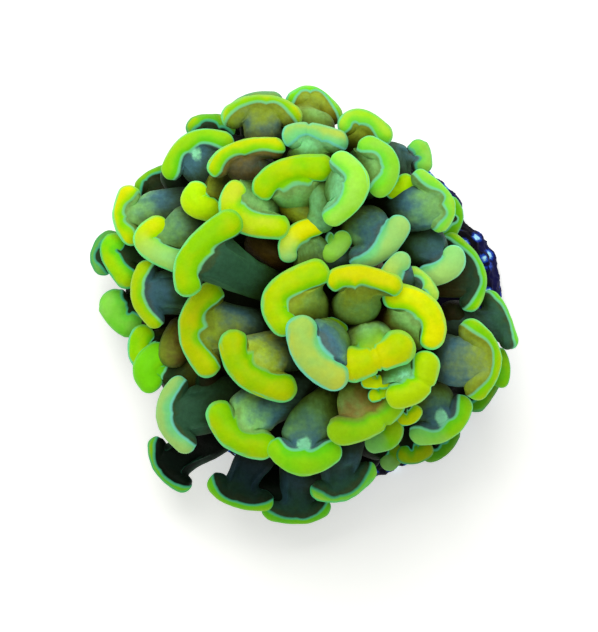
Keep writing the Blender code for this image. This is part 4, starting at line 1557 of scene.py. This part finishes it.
@dataclass
class PolypDome:
    """A fleshy dome with radial folds round a sunken mouth."""

    letter: str
    folds: int = 28
    fold_height: float = 0.22
    fold_waver: float = 0.8  # how unevenly the folds stand
    around: int = 224
    rows: int = 72
    crown: float = 0.96  # how far the ball's middle is below its top, as a share of its radius
    mouth_rows: float = 0.2  # share of the rows that turn down into the mouth
    mouth_top: float = 76.0  # degrees up to the mouth's rim
    mouth_depth: float = 2.2
    mouth_narrowing: float = 0.72  # from the rim to the bottom
    mouth_oval: float = 0.4  # how much narrower the bottom is across than along

    def ball(self) -> tuple[Array, float, float]:
        """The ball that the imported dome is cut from.

        Returns:
            Its centre, its radius and the dome's lowest height, in millimetres.
        """
        low, high = (np.array(corner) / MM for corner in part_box(f"polyp_{self.letter}"))
        middle, radius = (low + high) / 2.0, (high[0] - low[0]) / 2.0
        middle[2] = high[2] - self.crown * radius
        return middle, float(radius), float(low[2])

    def build(self) -> bpy.types.Object:
        """The dome's object.

        The radius at each elevation is the sphere's less a cosine fold round the axis. Near the
        top the skin turns down into an oval mouth.

        Returns:
            The object.
        """
        middle, radius, lowest = self.ball()
        start = math.asin((lowest - middle[2]) / radius)
        share = np.linspace(0.0, 1.0, self.rows)[:, None]
        angle = np.linspace(0.0, 2.0 * math.pi, self.around, endpoint=False)[None, :]
        rim = 1.0 - self.mouth_rows
        elevation = start + (math.radians(self.mouth_top) - start) * np.minimum(share / rim, 1.0)
        sink = np.clip((share - rim) / self.mouth_rows, 0.0, 1.0)
        fold = 0.5 + 0.5 * np.cos(self.folds * angle + self.fold_waver * np.sin(3.0 * angle))
        fold = np.broadcast_to(fold, (self.rows, self.around))
        skin = radius - self.fold_height * (1.0 - fold)
        narrowing = 1.0 - self.mouth_narrowing * smooth_step(0.0, 1.0, sink)
        level = skin * np.cos(elevation) * narrowing
        height = middle[2] + skin * np.sin(elevation) - self.mouth_depth * sink**2
        oval = 1.0 - self.mouth_oval * sink
        grid = np.stack([
            middle[0] + level * np.cos(angle),
            middle[1] + level * oval * np.sin(angle),
            np.broadcast_to(height, level.shape),
        ], axis=-1)
        numbers = {"dome_fold": fold.reshape(-1)}
        return capped_skin(f"oral_dome_{self.letter}", grid, numbers).attach()


@dataclass
class StonePiece:
    """A piece of the stony skeleton: smooth through its packed rings, with upright ribs."""

    node: str
    name: str
    ribs: int = 36
    rib_height: float = 0.35
    rib_bluntness: float = 0.7  # below 1, the ribs are broad and the grooves between them sharp
    rib_wear: float = 0.2
    pits: float = 0.12
    end_depth: float = 0.3  # the relief left at the two ends, where the next piece joins
    end_fade: float = 0.6
    around: int = 288
    rows: int = 60

    def build(self, node: bpy.types.Object) -> bpy.types.Object:
        """The piece's object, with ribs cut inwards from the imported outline.

        A rib's height round the axis is |cos(ribs · turn / 2)| to the power of its bluntness.

        Args:
            node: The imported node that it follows.

        Returns:
            The object.
        """
        smooth = even_rings(node, self.around)
        levels = smooth[:, :, 2].mean(axis=1)
        heights = np.linspace(levels[0], levels[-1], self.rows)
        grid = cubic(extended(levels), extended(smooth), heights)
        middle = grid.mean(axis=1, keepdims=True)
        turn = np.linspace(0.0, 2.0 * math.pi, self.around, endpoint=False)
        rib = np.abs(np.cos(self.ribs * turn / 2.0)) ** self.rib_bluntness
        rib = rib[None, :] * (1.0 - self.rib_wear + self.rib_wear * lumps(grid, 5, 1.4))
        cut = self.rib_height * (1.0 - rib) + self.pits * (1.0 + lumps(grid, 8, 2.2))
        edge = smooth_step(0.0, self.end_fade, heights - heights[0])
        edge = edge * smooth_step(0.0, self.end_fade, heights[-1] - heights)
        depth = self.end_depth + (1.0 - self.end_depth) * edge
        inwards = unit((middle - grid) * np.array([1.0, 1.0, 0.0]))
        grid = grid + inwards * (cut * depth[:, None])[..., None]
        return capped_skin(self.name, grid, {"rib_height": rib.reshape(-1)}).attach()


def level_rings(node: bpy.types.Object) -> Array:
    """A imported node's level rings, from the lowest up.

    Each is in order round its middle, and starts on the same side as the ring below it.

    Args:
        node: The node's object.

    Returns:
        Points, by ring and by column.
    """
    points, _ = merged_mesh(node)
    order = np.argsort(points[:, 2], kind="stable")
    points = points[order]
    breaks = np.nonzero(np.diff(points[:, 2]) > WELD)[0] + 1
    rings, side = [], None
    for ring in np.split(points, breaks):
        away = ring - ring.mean(axis=0)
        turn = np.argsort(np.arctan2(away[:, 1], away[:, 0]), kind="stable")
        ring, away = ring[turn], unit(away[turn, :2])
        side = away[0] if side is None else side
        first = int(np.argmax(away @ side))
        side = away[first]
        rings.append(np.roll(ring, -first, axis=0))
    return np.array(rings)


BRIGHT_SIDE = heading(math.radians(12.0))  # the side where the rim's painted rim light is brightest and its specks are thickest


@dataclass
class RubbleDisc:
    """The loose rubble disc: a pitted crust, flat underneath, with a painted rim light on its rim.
    """

    node: str = "base_disc"
    around: int = 360
    side_rows: int = 26
    top_rows: int = 90
    pits: tuple[tuple[float, float], ...] = ((0.30, 3.2), (0.16, 1.3))  # depth, width
    grit: tuple[float, float] = (0.06, 0.6)  # height, width
    flat: float = 2.0  # over this much of its height the relief grows from nothing
    rim_width: float = 10.0
    closing: float = 0.995  # how near the top's last row comes to its middle
    hub: float = -20.0  # the height on the axis that the relief faces away from

    def build(self, node: bpy.types.Object) -> bpy.types.Object:
        """The disc's object.

        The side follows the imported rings. The top closes inwards to a tiny cap, and the relief
        fades out towards the flat underside.

        Args:
            node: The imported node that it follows.

        Returns:
            The object.
        """
        smooth = even_rings(node, self.around)
        knots = arc_knots(smooth)
        side = straight(knots, smooth, np.linspace(0.0, knots[-1], self.side_rows))
        middle = smooth[-1].mean(axis=0)
        inwards = np.linspace(0.0, self.closing, self.top_rows)[1:, None, None]
        top = smooth[-1] + (middle - smooth[-1]) * inwards
        grid = np.concatenate([side, top])
        height = grid[..., 2]
        reach = np.linalg.norm(grid[..., :2] - middle[:2], axis=-1)
        rim = reach.max()
        lift = smooth_step(0.0, self.flat, height)
        relief = self.grit[0] * lumps(grid, 23, self.grit[1])
        for seed, (depth, width) in enumerate(self.pits, 21):
            relief += depth * (lumps(grid, seed, width) - 1.0)
        outward = unit(grid - np.array([middle[0], middle[1], self.hub]))
        grid = grid + outward * (np.minimum(relief, 0.0) * lift)[..., None]
        # Painted rim light near the outer edge, brighter on one side; the same mask crowds the
        # specks
        near = smooth_step(rim - self.rim_width, rim - 0.5, reach)
        facing = unit(grid[..., :2] - middle[:2]) @ BRIGHT_SIDE
        bright = near * (0.5 + 0.5 * smooth_step(0.2, 0.8, facing))
        return capped_skin("rubble_disc", grid, {"rim_bright": bright.reshape(-1)}).attach()


# ---------------------------------------------------------------- the colony


class OpenSky:
    """A map of the coral's highest point over each small square of plan, from which the finishes
    paint shade.
    """

    reaches = (1.2, 2.4, 4.2, 7.0)  # radii of the rings of places that are looked at
    turns = 12  # places in each ring
    wall = 1.4  # the rise, for each step out, that shuts the sky on that side

    def __init__(self, skins: list[Skin], square: float = 0.6, margin: float = 12.0) -> None:
        """Maps the skins' points, in squares of the given side, in millimetres.

        Args:
            skins: The coral's skins.
            square: A square's side.
            margin: How far the map goes past the coral.
        """
        points = np.concatenate([skin.points for skin in skins])
        self.square = square
        self.low = points[:, :2].min(axis=0) - margin
        size = ((np.ptp(points[:, :2], axis=0) + 2.0 * margin) / square).astype(int) + 1
        self.heights = np.zeros(size)
        np.maximum.at(self.heights, self._squares(points[:, :2]), points[:, 2])

    def _squares(self, plan: Array) -> tuple[Array, Array]:
        """The squares that plan points are in."""
        index = ((plan - self.low) / self.square).astype(int)
        return index[:, 0], index[:, 1]

    def share(self, points: Array) -> Array:
        """How open the sky is over each point, from 0 to 1.

        One minus the mean, over rings of places round the point, of how steeply the coral rises
        from it to each place, as a share of a wall's steepness.

        Args:
            points: Positions in millimetres.

        Returns:
            One number for each point.
        """
        shut = np.zeros(len(points))
        for reach, turn in itertools.product(self.reaches, range(self.turns)):
            angle = 2.0 * math.pi * turn / self.turns + reach
            step = reach * heading(angle)
            rise = self.heights[self._squares(points[:, :2] + step)] - points[:, 2]
            shut += np.clip(rise / reach / self.wall, 0.0, 1.0)
        return 1.0 - shut / (len(self.reaches) * self.turns)


@dataclass
class Colony:
    """The whole coral: every piece, built in order and reported."""

    frame: dict[str, Any]
    wardrobe: Wardrobe

    def build(self) -> None:
        """Builds and dresses every piece."""
        slots = {part["node"]: part["material_slot"] for part in self.frame["record"]["subparts"]}
        nodes = self.frame["nodes"]
        skins = self._buds()
        for name in sorted(slots):
            if name.startswith("tentacle_"):
                number = int(name.split("_")[-1])
                tentacle = Tentacle(f"hammer_{number:02d}", number, LOOKS[number])
                cage = Cage().read(nodes[name])
                skin = tentacle.build(Head.from_cage(cage), cage[:STALK_RINGS])
                skins.append((skin, slots[name], [name]))
        sky = OpenSky([skin for skin, _, _ in skins])
        for skin, slot, replaced in skins:
            skin.numbers["open_sky"] = sky.share(skin.points)
            self._add(skin.attach(), slot, replaced)
        for letter in "ab":
            self._add(PolypDome(letter).build(), "oral_disc_flesh", [f"polyp_{letter}"])
            branch = StonePiece(f"branch_{letter}", f"corallite_{letter}")
            self._add(branch.build(nodes[branch.node]), "coral_stone", [branch.node])
        trunk = StonePiece("skeleton_trunk", "stony_trunk", ribs=44)
        self._add(trunk.build(nodes[trunk.node]), "coral_stone", [trunk.node])
        disc = RubbleDisc()
        self._add(disc.build(nodes[disc.node]), "crusted_rubble", [disc.node])

    @staticmethod
    def _buds() -> list[tuple[Skin, str, list[str]]]:
        """The small tentacles' skins, one for each finish, with the finish.

        Returns:
            A skin, its slot and the nodes it replaces, which are none.
        """
        domes = {letter: PolypDome(letter).ball() for letter in "ab"}
        skins: dict[str, list[Skin]] = {}
        for count, bud in enumerate(BUDS):
            root, radius, _ = domes[bud.polyp]
            head = bud.head(root)
            shape = Tentacle("bud", 200 + count, bud.look, around=48, stalk_rows=26, head_rows=18)
            skin = shape.build(head, bud.rings(head, root, radius))
            skins.setdefault(bud.slot, []).append(skin)
        return [
            (joined_skin(f"buds_{slot.split('_')[0]}", group), slot, [])
            for slot, group in skins.items()
        ]

    def _add(self, piece: bpy.types.Object, slot: str, nodes: list[str]) -> None:
        """Dresses a finished piece and reports it."""
        self.wardrobe.dress(piece, slot, nodes)
        log.info("%s: %d faces, %s", piece.name, len(piece.data.polygons), slot)


@dataclass(frozen=True)
class Lamp:
    """A square area light, aimed at the coral. Its place and side are in metres."""

    name: str
    place: tuple[float, float, float]
    side: float
    power: float
    colour: tuple[float, float, float]

    def build(self) -> None:
        """Puts the light in the scene."""
        light = bpy.data.lights.new(self.name, "AREA")
        light.size, light.energy, light.color = self.side, self.power, self.colour
        lamp = bpy.data.objects.new(self.name, light)
        lamp.location = self.place
        lamp.rotation_euler = (-lamp.location.normalized()).to_track_quat("-Z", "Y").to_euler()
        bpy.context.scene.collection.objects.link(lamp)


LAMPS = [
    Lamp("key", (-0.12, 0.55, 0.95), side=0.7, power=8.5, colour=(1.0, 0.99, 0.95)),
    Lamp("top", (0.0, 0.0, 1.6), side=0.6, power=3.0, colour=(1.0, 1.0, 1.0)),
]


@dataclass
class Studio:
    """Floor, lights and the overhead camera."""

    view_centre: tuple[float, float] = (-5.5, -0.95)
    view_height: float = 120.1
    focus_height: float = 35.0
    camera_height: float = 2400.0
    far: float = 20_000.0  # how far the camera sees
    floor_half: float = 3.0  # half the floor's side, in metres
    floor_colour: Colour = (0.9, 0.9, 0.885, 1.0)
    floor_glow: Colour = (1.0, 1.0, 0.985, 1.0)
    floor_strength: float = 0.5
    sky: float = 0.2  # strength of the even light from all round

    def build(self) -> None:
        """Sets up everything round the coral."""
        self._floor()
        self._lights()
        self._camera()
        bpy.context.scene.view_settings.view_transform = "Standard"

    def _floor(self) -> None:
        """A wide pale floor at the coral's foot."""
        shading = Shading("studio_floor", roughness=0.9)
        shading.feed(base_color=self.floor_colour, emission_color=self.floor_glow)
        shading.feed(emission_strength=self.floor_strength)
        mesh = bpy.data.meshes.new("studio_floor")
        corners = self.floor_half * np.array([(-1, -1, 0), (1, -1, 0), (1, 1, 0), (-1, 1, 0)])
        mesh.from_pydata(corners, [], [[0, 1, 2, 3]])
        mesh.materials.append(shading.material)
        floor = bpy.data.objects.new("studio_floor", mesh)
        bpy.context.scene.collection.objects.link(floor)
        floor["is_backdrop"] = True

    def _lights(self) -> None:
        """A broad overhead key that leans from +Y, and a dim even sky."""
        for lamp in LAMPS:
            lamp.build()
        world = bpy.data.worlds.new("studio_sky")
        world.use_nodes = True
        background = world.node_tree.nodes["Background"]
        background.inputs["Color"].default_value = grey(1.0)
        background.inputs["Strength"].default_value = self.sky
        bpy.context.scene.world = world

    def _camera(self) -> None:
        """A long lens straight above, framed on the coral."""
        data = bpy.data.cameras.new("camera")
        distance = self.camera_height - self.focus_height
        data.lens = data.sensor_width * distance / self.view_height
        data.clip_end = self.far * MM
        camera = bpy.data.objects.new("camera", data)
        camera.location = np.array([*self.view_centre, self.camera_height]) * MM
        bpy.context.scene.collection.objects.link(camera)
        bpy.context.scene.camera = camera


def main(frame: dict[str, Any], cad_box: Any) -> None:
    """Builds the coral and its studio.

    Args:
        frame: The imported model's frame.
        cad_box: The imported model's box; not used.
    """
    Colony(frame, Wardrobe()).build()
    Studio().build()


if __name__ == "__main__":
    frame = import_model()
    main(frame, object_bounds())
